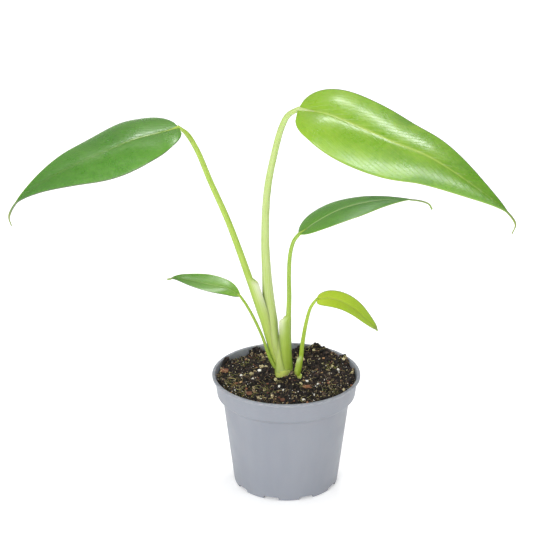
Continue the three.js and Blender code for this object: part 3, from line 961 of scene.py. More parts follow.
LOOSE_FINISHES = (
    CrumbFinish("peat_crumbs", (
        (0.0, srgb(14, 11, 11)), (0.5, srgb(32, 26, 25)), (0.8, srgb(52, 42, 40)), (0.93, srgb(84, 64, 56)),
        (0.98, srgb(170, 152, 110)), (1.0, srgb(224, 212, 164)),
    )),
    CrumbFinish("fibres", (
        (0.0, srgb(60, 42, 30)), (0.3, srgb(110, 84, 54)), (0.55, srgb(190, 172, 110)),
        (0.8, srgb(206, 204, 132)), (1.0, srgb(150, 82, 50)),
    ), 0.75),
    CrumbFinish("moss_leaves", (
        (0.0, srgb(48, 62, 18)), (0.4, srgb(92, 112, 34)), (0.75, srgb(158, 166, 72)),
        (1.0, srgb(214, 206, 136)),
    ), 0.75),
    CrumbFinish("perlite", (
        (0.0, srgb(196, 186, 164)), (0.4, srgb(228, 222, 208)), (1.0, srgb(250, 248, 242)),
    ), 0.85, 2400.0, 0.6),
    CrumbFinish("bark", (
        (0.0, srgb(58, 34, 24)), (0.4, srgb(104, 64, 46)), (0.75, srgb(150, 98, 70)),
        (1.0, srgb(198, 160, 112)),
    ), 0.85, 900.0, 0.8),
)


def loose_materials() -> dict[Loose, bpy.types.Material]:
    """Builds the loose pieces' materials.

    Returns:
        The material of each kind. Crumbs and clods share one.
    """
    peat, fibre, moss, perlite, bark = (finish.build() for finish in LOOSE_FINISHES)
    return {
        Loose.CRUMB: peat, Loose.CLOD: peat, Loose.FIBRE: fibre, Loose.MOSS: moss,
        Loose.GRIT: perlite, Loose.FLAKE: bark,
    }


def ball(level: int) -> tuple[Array, list[tuple[int, ...]]]:
    """Makes a ball one unit across.

    Args:
        level: How finely it is divided.

    Returns:
        Its points and its faces.
    """
    work = bmesh.new()
    bmesh.ops.create_icosphere(work, subdivisions=level, radius=0.5)
    points = np.array([v.co for v in work.verts])
    faces = [tuple(v.index for v in f.verts) for f in work.faces]
    work.free()
    return points, faces


class LooseShapes:
    """Makes the small shapes that are strewn, one unit long."""

    lumps = {
        Loose.CRUMB: (1, 0.55), Loose.CLOD: (2, 0.6), Loose.GRIT: (1, 0.4), Loose.FLAKE: (1, 0.5, 0.35),
    }

    def __init__(self, seed: int = 5) -> None:
        """Starts the shapes' own random numbers."""
        self.random = np.random.default_rng(seed)

    def lump(self, level: int, rough: float, flat: float = 1.0) -> tuple[Array, list[tuple[int, ...]]]:
        """Makes an uneven rounded lump.

        Args:
            level: How finely the starting sphere is divided.
            rough: How uneven it is.
            flat: Its height as a share of its width.

        Returns:
            Its points and its faces.
        """
        points, faces = ball(level)
        offset = self.random.uniform(-50, 50)
        broad, fine = ripple(points, 3.1, offset), ripple(points, 7.0, offset)
        points = points * (1 + rough * broad + 0.5 * rough * fine)[:, None]
        return points * (1.0, self.random.uniform(0.65, 0.95), flat * self.random.uniform(0.6, 0.95)), faces

    def strand(self, bend: float, thickness: float, steps: int = 8) -> tuple[Array, list[tuple[int, ...]]]:
        """Makes a thin bent strand with four sides.

        Args:
            bend: How far it turns, in radians.
            thickness: Its width as a share of its length.
            steps: Rings along it, less one.

        Returns:
            Its points and its faces.
        """
        heading = np.cumsum(self.random.normal(bend / steps, 0.25, steps + 1))
        rise = np.cumsum(self.random.normal(0, 0.06, steps + 1))
        line = np.cumsum(np.stack([np.cos(heading), np.sin(heading), rise], 1), axis=0) / steps
        line -= line.mean(axis=0)
        side = np.stack([-np.sin(heading), np.cos(heading), np.zeros_like(heading)], 1)
        taper = thickness * (1 - 0.75 * np.linspace(0, 1, steps + 1) ** 2)[:, None]
        up = np.array([0, 0, 1.0])
        corners = [line + side * taper / 2, line + up * taper / 2, line - side * taper / 2,
                   line - up * taper / 2]
        return np.stack(corners, 1).reshape(-1, 3), ring_faces(steps + 1, 4)

    def tuft(self, leaves: int = 9) -> tuple[Array, list[tuple[int, ...]]]:
        """Makes a moss shoot: small pointed leaves round a point.

        Args:
            leaves: How many leaves it has.

        Returns:
            Its points and its faces.
        """
        points: list[Any] = []
        faces: list[tuple[int, ...]] = []
        for _ in range(leaves):
            turn, lean = self.random.uniform(0, 2 * math.pi), self.random.uniform(0.3, 1.3)
            length, width = self.random.uniform(0.45, 0.8), self.random.uniform(0.1, 0.17)
            out = np.array([math.cos(turn) * math.sin(lean), math.sin(turn) * math.sin(lean), math.cos(lean)])
            side = np.array([-math.sin(turn), math.cos(turn), 0.0])
            face = np.cross(out, side)
            first = len(points)
            middle = out * length * 0.5 + face * 0.06
            points += [out * 0.02, middle + side * width / 2, out * length, middle - side * width / 2,
                       middle - face * 0.05]
            faces += [(first, first + 1, first + 2, first + 3), (first, first + 4, first + 1),
                      (first + 1, first + 4, first + 2), (first + 2, first + 4, first + 3),
                      (first + 3, first + 4, first)]
        return np.array(points), faces

    def make(self, kind: Loose) -> tuple[Array, list[tuple[int, ...]]]:
        """Makes one shape of a kind.

        Args:
            kind: What it is.

        Returns:
            Its points and its faces.
        """
        if kind in self.lumps:
            return self.lump(*self.lumps[kind])
        if kind is Loose.FIBRE:
            return self.strand(self.random.uniform(-2.6, 2.6), 0.045)
        return self.tuft()


@dataclass
class SoilBed:
    """The peat in the pot, and the crumbs, fibres, moss and grit on it."""

    rings: int = 110
    sectors: int = 330
    edge: float = 56.2
    strewings: tuple[Strewing, ...] = (
        Strewing(Loose.CRUMB, 820000, (0.6, 1.9), 11, "bare", ANY_WAY_UP, 0.1, "soil", 6),
        Strewing(Loose.CLOD, 62000, (1.8, 4.2), 23, "bare", ANY_WAY_UP, 0.1, "soil", 6),
        Strewing(Loose.CLOD, 260000, (1.4, 3.4), 29, "heap", ANY_WAY_UP, 0.2, "soil", 6),
        Strewing(Loose.FIBRE, 24000, (3.0, 8.0), 31, "bare", 0.35, 0.45, "soil", 8),
        Strewing(Loose.MOSS, 190000, (1.3, 2.5), 41, "moss", LYING, 0.15, "soil", 6),
        Strewing(Loose.FIBRE, 90000, (2.5, 5.5), 43, "moss", LYING, 0.45, "soil", 8),
        Strewing(Loose.GRIT, 27000, (0.5, 1.4), 53, "bare", ANY_WAY_UP, 0.5, "perlite", 4),
        Strewing(Loose.FLAKE, 15000, (1.2, 3.0), 61, "bare", LYING, 0.5, "bark", 5),
    )

    def surface(self, x: Array, y: Array) -> Array:
        """Gives the height of the fine surface, in millimetres."""
        places = np.stack([x, y, np.zeros_like(x)], 1)
        fine = 0.75 * ripple(places, 0.16, 3.0) + 0.55 * ripple(places, 0.42, 9.0)
        fine = fine + 0.35 * ripple(places, 1.1, 21.0)
        reach = np.hypot(x, y)
        settle = smooth((reach - self.edge + 5) / 5) * 0.6
        return soil_height(x, y) + fine - settle

    def bed(self, shared: SharedGroups) -> bpy.types.Object:
        """Builds the peat's own solid.

        Returns:
            The peat, whose values say where it is bare, heaped and mossy.
        """
        shares = np.linspace(1, 0, self.rings, endpoint=False) ** 0.8
        turns = np.linspace(0, 2 * math.pi, self.sectors, endpoint=False)
        radii = np.repeat(shares * self.edge, self.sectors)
        angles = np.tile(turns, self.rings)
        x, y = radii * np.cos(angles), radii * np.sin(angles)
        top = np.stack([x, y, self.surface(x, y)], 1)
        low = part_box("potting_soil")[0][2] / MM
        walls = [(41.1, low), (50.0, 73.9), (54.6, 77.7)]
        sides = np.array([(r * math.cos(t), r * math.sin(t), z) for r, z in walls for t in turns])
        points = np.concatenate([sides, top, [(0, 0, low), (0, 0, float(soil_height(0.0, 0.0)))]])
        faces = ring_faces(self.rings + len(walls), self.sectors, False, False)
        last, floor = (self.rings + len(walls) - 1) * self.sectors, len(points) - 2
        for i in range(self.sectors):
            j = (i + 1) % self.sectors
            faces += [(j, i, floor), (last + i, last + j, floor + 1)]
        upward = np.zeros(len(points))
        upward[len(sides) + self.sectors * 2:-2] = 1
        px, py = points[:, 0], points[:, 1]
        clear = 1 - smooth((9.0 - np.hypot(px + 2.1, py - 7.1)) / 1.5)
        moss = np.minimum(1, sum(m.share(px, py) for m in MOSS)) * upward
        heap = np.minimum(1, sum(m.share(px, py) for m in HEAPS)) * upward
        values = {"moss": moss, "heap": heap * heap * clear, "bare": upward * clear, "tone": upward * 0.3}
        soil = mesh_piece("peat_bed", points * MM, faces, values, 180)
        clumps = [node for node in frame["nodes"] if node.startswith("soil_clump_")]
        install(soil, SoilFinish().build(shared), ["potting_soil", *clumps])
        return soil

    def strew_tree(self, strewing: Strewing, shapes: bpy.types.Collection) -> bpy.types.NodeTree:
        """Builds the tree that strews one kind of loose stuff over a surface.

        Args:
            strewing: What is strewn, and how.
            shapes: The shapes to choose from.

        Returns:
            A tree with inputs Density, Smallest, Largest, Tilt, Lift, Seed and Finish.
        """
        graph, given, out = new_group(
            f"strew_{strewing.kind.value}_{strewing.seed}",
            "GeometryNodeTree",
            [("Geometry", "NodeSocketGeometry"), ("Density", "NodeSocketFloat"),
             ("Smallest", "NodeSocketFloat"),
             ("Largest", "NodeSocketFloat"), ("Tilt", "NodeSocketFloat"), ("Lift", "NodeSocketFloat"),
             ("Seed", "NodeSocketInt"), ("Finish", "NodeSocketMaterial")],
            [("Geometry", "NodeSocketGeometry")],
        )
        cover = graph.add("GeometryNodeInputNamedAttribute", data_type="FLOAT")
        cover.inputs["Name"].default_value = strewing.cover
        density = graph.maths("MULTIPLY", given.outputs["Density"], cover.outputs["Attribute"])
        spread = graph.add("GeometryNodeDistributePointsOnFaces", distribute_method="RANDOM")
        graph.feed(spread.inputs["Mesh"], given.outputs["Geometry"])
        graph.feed(spread.inputs["Density"], density)
        graph.feed(spread.inputs["Seed"], given.outputs["Seed"])
        source = graph.add("GeometryNodeCollectionInfo", transform_space="ORIGINAL")
        source.inputs["Collection"].default_value = shapes
        source.inputs["Separate Children"].default_value = True
        source.inputs["Reset Children"].default_value = True

        def chance(kind: str, seed: int) -> bpy.types.Node:
            """Adds a random value of its own seed."""
            node = graph.add("FunctionNodeRandomValue", data_type=kind)
            graph.feed(node.inputs["Seed"], graph.maths("ADD", given.outputs["Seed"], float(seed)))
            return node

        pick = chance("INT", 1)
        pick.inputs[4].default_value = 0
        pick.inputs[5].default_value = strewing.variants - 1
        turn = chance("FLOAT_VECTOR", 2)
        tilt = given.outputs["Tilt"]
        graph.feed(turn.inputs[0], graph.vector(graph.maths("MULTIPLY", tilt, -1.0),
                                                graph.maths("MULTIPLY", tilt, -1.0), 0.0))
        graph.feed(turn.inputs[1], graph.vector(tilt, tilt, 2 * math.pi))
        size = chance("FLOAT", 3)
        share = graph.maths("POWER", size.outputs[1], 2.0)
        span = graph.maths("SUBTRACT", given.outputs["Largest"], given.outputs["Smallest"])
        scale = graph.maths("ADD", given.outputs["Smallest"], graph.maths("MULTIPLY", share, span))
        lift = graph.add("GeometryNodeSetPosition")
        graph.feed(lift.inputs["Geometry"], spread.outputs["Points"])
        graph.feed(lift.inputs["Offset"],
                   graph.vector(0.0, 0.0, graph.maths("MULTIPLY", scale, given.outputs["Lift"])))
        place = graph.add("GeometryNodeInstanceOnPoints")
        graph.feed(place.inputs["Points"], lift.outputs[0])
        graph.feed(place.inputs["Instance"], source.outputs[0])
        place.inputs["Pick Instance"].default_value = True
        graph.feed(place.inputs["Instance Index"], pick.outputs[2])
        graph.feed(place.inputs["Rotation"], turn.outputs[0])
        graph.feed(place.inputs["Scale"], scale)
        tone = graph.add("GeometryNodeStoreNamedAttribute", data_type="FLOAT", domain="INSTANCE")
        graph.feed(tone.inputs["Geometry"], place.outputs[0])
        tone.inputs["Name"].default_value = "tone"
        graph.feed(tone.inputs["Value"], chance("FLOAT", 4).outputs[1])
        whole = graph.add("GeometryNodeRealizeInstances")
        graph.feed(whole.inputs[0], tone.outputs[0])
        dress = graph.add("GeometryNodeSetMaterial")
        graph.feed(dress.inputs["Geometry"], whole.outputs[0])
        graph.feed(dress.inputs["Material"], given.outputs["Finish"])
        graph.feed(out.inputs[0], dress.outputs[0])
        return graph.tree

    def strew(
        self, soil: bpy.types.Object, strewing: Strewing, finish: bpy.types.Material, maker: LooseShapes
    ) -> None:
        """Strews one kind of loose stuff over the soil.

        Args:
            soil: The surface to strew on.
            strewing: What is strewn, and how.
            finish: Its material.
            maker: The maker of its shapes.
        """
        shapes = bpy.data.collections.new(f"shapes_{strewing.seed}")
        for i in range(strewing.variants):
            points, faces = maker.make(strewing.kind)
            shape = mesh_piece(f"shape_{strewing.seed}_{i}", points, faces, None, 50)
            bpy.context.scene.collection.objects.unlink(shape)
            shapes.objects.link(shape)
        base = bpy.data.objects.new(f"strewn_{strewing.seed}", soil.data)
        bpy.context.scene.collection.objects.link(base)
        tree = self.strew_tree(strewing, shapes)
        modifier = base.modifiers.new("strew", "NODES")
        modifier.node_group = tree
        given = {
            "Density": strewing.density, "Smallest": strewing.size[0] * MM, "Largest": strewing.size[1] * MM,
            "Tilt": strewing.tilt, "Lift": strewing.lift, "Seed": strewing.seed, "Finish": finish,
        }
        sockets = {i.name: i.identifier for i in tree.interface.items_tree if i.in_out == "INPUT"}
        for key, value in given.items():
            modifier[sockets[key]] = value
        piece = evaluated_copy(base, f"loose_{strewing.kind.value}_{strewing.seed}")
        for shape in list(shapes.objects):
            bpy.data.objects.remove(shape, do_unlink=True)
        bpy.data.collections.remove(shapes)
        install(piece, None)

    def build(self, shared: SharedGroups, materials: dict[Loose, bpy.types.Material]) -> None:
        """Builds the peat and strews everything on it.

        Args:
            shared: The node groups that finishes share.
            materials: The material of each kind of loose stuff.
        """
        soil = self.bed(shared)
        maker = LooseShapes()
        for strewing in self.strewings:
            self.strew(soil, strewing, materials[strewing.kind], maker)


@dataclass
class LoosePieces:
    """The larger perlite grains and bark chips, each in the place of its CAD node."""

    seed: int = 17

    def build(self, materials: dict[Loose, bpy.types.Material]) -> None:
        """Builds each grain and chip.

        Args:
            materials: The material of each kind of loose stuff.
        """
        random = np.random.default_rng(self.seed)
        nodes = sorted(n for n in frame["nodes"] if n.startswith(("perlite_", "bark_chip_")))
        for node in nodes:
            low, high = (np.array(corner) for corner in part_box(node))
            grain = node.startswith("perlite_")
            points, faces = ball(4)
            offset = float(random.uniform(-90, 90))
            rough = 1 + 0.3 * ripple(points, 2.6, offset) + 0.12 * ripple(points, 9.0, offset)
            points = points * rough[:, None]
            if not grain:
                points = np.sign(points) * np.abs(points) ** 0.75 * 0.9
            points = points / np.ptp(points, axis=0) * (high - low) + (low + high) / 2
            tone = np.full(len(points), random.uniform(0.35, 0.9))
            name = node.replace("perlite", "perlite_grain").replace("bark_chip", "bark_sliver")
            piece = mesh_piece(name, points, faces, {"tone": tone}, 60)
            kind, slot = (Loose.GRIT, "perlite") if grain else (Loose.FLAKE, "bark")
            install(piece, materials[kind], [node])


# --------------------------------------------------------------------------------------------------
# Stem, stalks and leaves


@dataclass(frozen=True)
class Sheath:
    """The lower part of a stalk, which opens into a channel round what is inside it.

    Lengths are in millimetres and the spread is in degrees. A pair gives the value at the top and at
    the foot.
    """

    top: float
    rise: float
    hollow: Pair
    spread: Pair
    wing: float
    tuck: Pair


@dataclass
class Leaf:
    """A leaf: its stalk from the stem to the blade, and the blade. Lengths are in millimetres."""

    name: str
    stalk: list[Triple]
    radius: list[Pair]
    facing: float
    blade: list[Triple]
    width: float
    base: float
    point: float
    roll: Pair
    fold: Pair
    arch: float
    tip: float
    tip_width: float
    neck: float
    slot: str
    sheath: Sheath | None = None
    near_side: float = 1.0
    wave: float = 0.0
    rows: int = 150
    columns: int = 44
    outer_points: int = 33
    inner_points: int = 17

    def half_width(self, along: Array) -> Array:
        """Gives half the blade's width: a round base, a long point, a thread.

        Args:
            along: Shares of the blade's length.

        Returns:
            Half the width at each, in millimetres.
        """
        widest = self.base / (self.base + self.point)
        share = np.minimum(along / (1 - self.tip), 1)
        outline = (share / widest) ** self.base * ((1 - share) / (1 - widest)) ** self.point
        ending = np.clip((1 - along) / self.tip * 1.5, 0.35, 1)
        thread = self.tip_width / 2 * ending * smooth(along / 0.05)
        neck = self.neck / 2 * (1 - along)
        return np.maximum.reduce([self.width / 2 * outline, thread, neck, np.full_like(along, 0.2)])

    def blade_frames(self) -> tuple[Array, Array, Array, Array, Array]:
        """Gives the midrib and the directions at each row.

        Returns:
            Shares of the length, places, tangents, directions across, and directions out of the face.
        """
        along = np.linspace(0, 1, self.rows + 1)
        centre = centripetal(self.blade, self.rows + 1)
        tangent = unit(np.gradient(centre, axis=0))
        middle = centre[self.rows // 2] - centre[0]
        side = np.cross((0, 0, 1.0), (middle[0], middle[1], 0))
        sides = []
        for direction in tangent:
            side = side - side.dot(direction) * direction
            side = side / np.linalg.norm(side)
            sides.append(side)
        side = np.array(sides)
        normal = np.cross(tangent, side)
        roll = np.radians(self.roll[0] + (self.roll[1] - self.roll[0]) * along)[:, None]
        across = side * np.cos(roll) + normal * np.sin(roll)
        face = normal * np.cos(roll) - side * np.sin(roll)
        return along, centre, tangent, across, face

    def blade_piece(self) -> bpy.types.Object:
        """Builds the blade: a thin skin with a grooved midrib above, a ridge below and a wavy edge.

        Returns:
            The blade, whose values say where each place is across and along it.
        """
        along, centre, _, across, face = self.blade_frames()
        half = self.half_width(along)
        fold = self.fold[0] + (self.fold[1] - self.fold[0]) * smooth(along / 0.5)
        step = np.linspace(-1, 1, self.columns + 1)
        share = np.sign(step) * np.abs(step) ** 1.25
        side_half = half[:, None] * np.where(share < 0, self.near_side, 1.0)[None, :]
        reach = side_half * share[None, :]
        lift = side_half * (fold[:, None] * np.abs(share) - self.arch * share**2)
        length = np.linalg.norm(np.diff(centre, axis=0), axis=1).sum()
        mm_along = along * length
        ruffle = np.sin(mm_along / 9.0 + 2.2 * np.sin(mm_along / 31.0))
        wave = self.wave * ruffle[:, None] * np.abs(share) ** 3
        wave = wave * np.sin(math.pi * along)[:, None] * np.sign(share + 1e-9)
        rib = np.exp(-((reach / (0.7 + 0.02 * half[:, None])) ** 2))
        rib_height = (0.2 + 0.02 * half)[:, None]
        upper = lift + wave - 0.5 * rib * rib_height
        thickness = 0.22 + 0.16 * (1 - np.abs(share) ** 2)[None, :] + rib * rib_height * 2.4
        thickness = thickness + 0.6 * smooth(1.4 - half)[:, None] * (1 - 0.5 * share**2)[None, :]
        lower = upper - thickness
        spot = centre[:, None, :] + across[:, None, :] * reach[..., None]
        top = spot + face[:, None, :] * upper[..., None]
        bottom = spot + face[:, None, :] * lower[..., None]
        rings = np.concatenate([bottom, top[:, ::-1]], axis=1)
        size = rings.shape[1]
        mirrored = [np.concatenate([a, a[:, ::-1]], axis=1) for a in (reach, side_half)]
        rows = np.repeat(mm_along[:, None], size, axis=1)
        under = np.repeat((np.arange(size) < self.columns + 1)[None, :], self.rows + 1, axis=0)
        values = {"across": mirrored[0], "half": mirrored[1], "along": rows, "under": under,
                  "share": rows / length}
        return mesh_piece(f"leaf_{self.name}", rings.reshape(-1, 3) * MM,
                          ring_faces(self.rows + 1, size), values, 70)

    def section(self, height: float) -> tuple[Array, Array]:
        """Gives the stalk's section at a height: round above its sheath, a crescent below.

        Args:
            height: The height in millimetres.

        Returns:
            Points as (outward, sideways), and how thin the sheath is at each.
        """
        total = self.outer_points + self.inner_points
        radius = float(at_heights(self.radius, height))
        step = 2 * math.pi / total
        angle = (np.arange(total) - (self.outer_points - 1) / 2) * step
        circle = np.stack([radius * np.cos(angle), radius * np.sin(angle)], 1)
        if self.sheath is None or height >= self.sheath.top:
            return circle, np.zeros(total)
        sheath = self.sheath
        depth = (sheath.top - height) / (sheath.top - self.stalk[0][2])
        hollow = sheath.hollow[0] + (sheath.hollow[1] - sheath.hollow[0]) * depth
        reach = math.radians(sheath.spread[0] + (sheath.spread[1] - sheath.spread[0]) * depth)
        outer = np.linspace(-1, 1, self.outer_points)
        inner = np.linspace(1, -1, self.inner_points + 2)[1:-1]
        share = np.concatenate([outer, inner])
        lip = smooth((np.abs(share) - 0.62) / 0.38)
        wall = 0.16 + (sheath.wing - 0.16) * (1 - np.abs(share) ** 3)
        wall = wall + (2 * radius - sheath.wing) * np.cos(share * math.pi / 2) ** 1.5
        tuck = sheath.tuck[1] + (sheath.tuck[0] - sheath.tuck[1]) * (1 - depth) ** 3
        distance = np.where(np.arange(total) < self.outer_points, hollow + wall, hollow) - tuck * lip
        turn = share * reach
        crescent = np.stack([distance * np.cos(turn) - hollow - radius, distance * np.sin(turn)], 1)
        opened = float(smooth((sheath.top - height) / sheath.rise))
        thin = smooth((np.abs(share) - 0.3) / 0.55) * opened * (0.1 + 0.9 * float(smooth(1.1 - depth * 2.4)))
        return circle + (crescent - circle) * opened, thin

    def stalk_piece(self) -> bpy.types.Object:
        """Builds the stalk and its sheath, and lets it run out under the blade's midrib.

        Returns:
            The stalk, whose values say where its sheath is thin.
        """
        length = sum(math.dist(a, b) for a, b in zip(self.stalk, self.stalk[1:]))
        count = int(length / 1.6)
        line = centripetal(self.stalk, count + 1)
        _, blade_line, blade_tangent, _, blade_face = self.blade_frames()
        tangent = unit(np.gradient(line, axis=0))
        turn = math.radians(self.facing)
        sideways = np.array([-math.sin(turn), math.cos(turn), 0.0])
        sheath_top = self.sheath.top if self.sheath else self.stalk[0][2] + 40
        rings, thin, heights, travelled = [], [], [], []
        for i, (centre, direction) in enumerate(zip(line, tangent)):
            level = 1 - smooth((centre[2] - sheath_top + 15) / 30)
            ending = smooth((i / count - 0.94) / 0.06)
            axis = direction * (1 - level) + np.array([0, 0, 1.0]) * level
            axis = unit(axis * (1 - ending) + blade_tangent[0] * ending)
            points, thinness = self.section(centre[2])
            side = unit(sideways - sideways.dot(axis) * axis)
            out = np.cross(side, axis)
            rings.append(centre + points[:, :1] * out + points[:, 1:] * side)
            thin.append(thinness)
            heights.append(centre[2])
            travelled.append(i * length / count)
        last_radius = float(at_heights(self.radius, line[-1][2]))
        run = np.linspace(0, 1, 9)[1:]
        for share in run:
            row = int(share * self.rows * 0.07)
            axis = blade_tangent[row]
            side = unit(sideways - sideways.dot(axis) * axis)
            out = np.cross(side, axis)
            radius = last_radius * (1 - share) ** 0.7 + 0.12
            points, _ = self.section(1e4)
            points = points / np.linalg.norm(points[0]) * radius
            centre = blade_line[row] - blade_face[row] * (radius * 0.55 + 0.25) * share
            rings.append(centre + points[:, :1] * out + points[:, 1:] * side)
            thin.append(np.zeros(len(points)))
            heights.append(centre[2])
            travelled.append(length + share * 12)
        size = self.outer_points + self.inner_points
        around = np.tile(np.abs(np.linspace(-1, 1, size, endpoint=False)), len(rings))
        values = {
            "membrane": np.concatenate(thin), "around": around,
            "height": np.repeat(heights, size), "along": np.repeat(travelled, size),
        }
        return mesh_piece(f"stalk_{self.name}", np.concatenate(rings) * MM, ring_faces(len(rings), size),
                          values, 75)


def monstera_leaves() -> list[Leaf]:
    """Gives the five leaves, from the innermost stalk to the side shoot.

    Returns:
        The leaves, with lengths in millimetres.
    """
    crown_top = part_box("stem_and_roots")[1][2] / MM + 0.3
    return [
        Leaf(
            "tall_right",
            [(-2.4, 7.2, crown_top), (-6.3, 7.8, 107), (-10.2, 8.4, 122), (-12, 8.8, 137), (-14.3, 9.3, 156),
             (-15.9, 10, 180), (-17, 11, 208), (-15.3, 11, 248), (-10, 10, 278.5), (-4, 8, 302.5),
             (1, 6, 313),
             (8.5, 4, 318.5)],
            [(96, 3.8), (107, 4.6), (125, 4.9), (137, 5.1), (156, 4.75), (168, 4.2), (180, 3.7), (210, 3.2),
             (300, 2.5), (313, 2.3)],
            -20,
            [(8.5, 4, 318.5), (30, -4, 318), (54.5, -15, 311.5), (81.5, -30, 304), (108.5, -43, 296.5),
             (140, -58, 280), (166, -68, 262), (173, -72, 252.5), (170.5, -73, 245)],
            61.5, 0.37, 1.14, (28, 50), (0.34, 0.02), 0.4, 0.08, 1.6, 2.8, "young_leaf", near_side=1.03,
            wave=0.25,
        ),
        Leaf(
            "tall_left",
            [(-6.9, 7, crown_top), (-11.5, 7.4, 107), (-15.8, 7.4, 122), (-18.4, 7, 135), (-20.8, 6.6, 145),
             (-23.9, 6.2, 156), (-31.3, 6, 180), (-46, 6, 223.5), (-60.5, 6, 259), (-70, 6, 283.5),
             (-77.5, 5.5, 297), (-84, 4, 303.5)],
            [(96, 0.85), (118, 1), (125, 1.3), (135, 2), (145, 2.8), (160, 3), (200, 2.6), (300, 2)],
            188,
            [(-84, 4, 303.5), (-102.5, -2, 300.5), (-118.5, -9, 298.5), (-142, -20, 292),
             (-168.5, -32, 283.5),
             (-193, -44, 272.5), (-207.5, -51, 262), (-213, -54, 251.5), (-211.5, -54, 244)],
            56, 0.38, 1.38, (-2, -50), (0.38, 0.02), 0.4, 0.09, 1.6, 2.4, "mature_leaf",
            Sheath(177, 8, (5.2, 3.8), (60, 86), 0.6, (1.5, 0.3)), 1.2, 0.2,
        ),
        Leaf(
            "middle_right",
            [(3.9, 5, crown_top), (2.6, 4.1, 107), (1.8, 3.2, 120), (1.6, 2.6, 132), (1.8, 2.2, 145),
             (2.2, 2, 160),
             (2, 1, 182.5), (3, 1, 199), (6, 1, 210), (10, 2, 215)],
            [(96, 1.3), (107, 1.9), (120, 2.2), (135, 2.3), (158, 1.9), (182, 1.7), (213, 1.5)],
            -22,
            [(10, 2, 215), (24, 8, 223.5), (42.5, 15, 231), (64, 22, 234.5), (86.5, 28, 234.5),
             (106, 32, 232),
             (115, 34, 228), (117.5, 34, 223.5)],
            38.5, 0.57, 1.35, (-4, 17), (0.19, 0.04), 0.2, 0.15, 1.4, 2, "dark_leaf",
            Sheath(145, 5, (5.2, 4.8), (75, 88), 0.6, (0.6, 2.9)), 0.95, 0.1,
        ),
        Leaf(
            "small_left",
            [(-8.9, 6.4, crown_top), (-11.6, 6, 102), (-13.7, 5.8, 107), (-16.6, 5.4, 116), (-19.5, 5, 125),
             (-27, 4, 143), (-32.5, 4, 153.5), (-37, 4, 160.5)],
            [(96, 1.9), (107, 1.6), (118, 1.3), (160, 1.1)],
            186,
            [(-37, 4, 160.5), (-47, 8, 165.5), (-61.5, 12, 167.5), (-76, 16, 169), (-88, 19, 170),
             (-96, 20, 169)],
            18.5, 0.68, 0.76, (-30, -6), (0.03, 0.22), 0.12, 0.045, 0.8, 1.6, "mature_leaf",
            None, 1.08, 0.1, rows=90, columns=28,
        ),
        Leaf(
            "small_right",
            [(9.6, 0, 93), (10.8, 0, 98), (11.8, 0, 107), (12.9, 0, 119.5), (16, 0, 139.5), (19.5, 0, 152.5),
             (24, 0, 159.5)],
            [(93, 1.6), (107, 1.9), (122, 1.7), (159, 1.2)],
            0,
            [(24, 0, 159.5), (32.5, -3, 162), (43.5, -7, 161), (54.5, -11, 156), (64.5, -14, 147.5),
             (73, -16, 139.5)],
            18.5, 0.32, 0.42, (36, -4), (0.05, 0.2), 0.12, 0.02, 1.6, 1.6, "young_leaf",
            Sheath(111, 5, (1.5, 1.5), (60, 140), 0.7, (0.2, 0.2)), 1.0, 0.1, rows=90, columns=28,
        ),
    ]


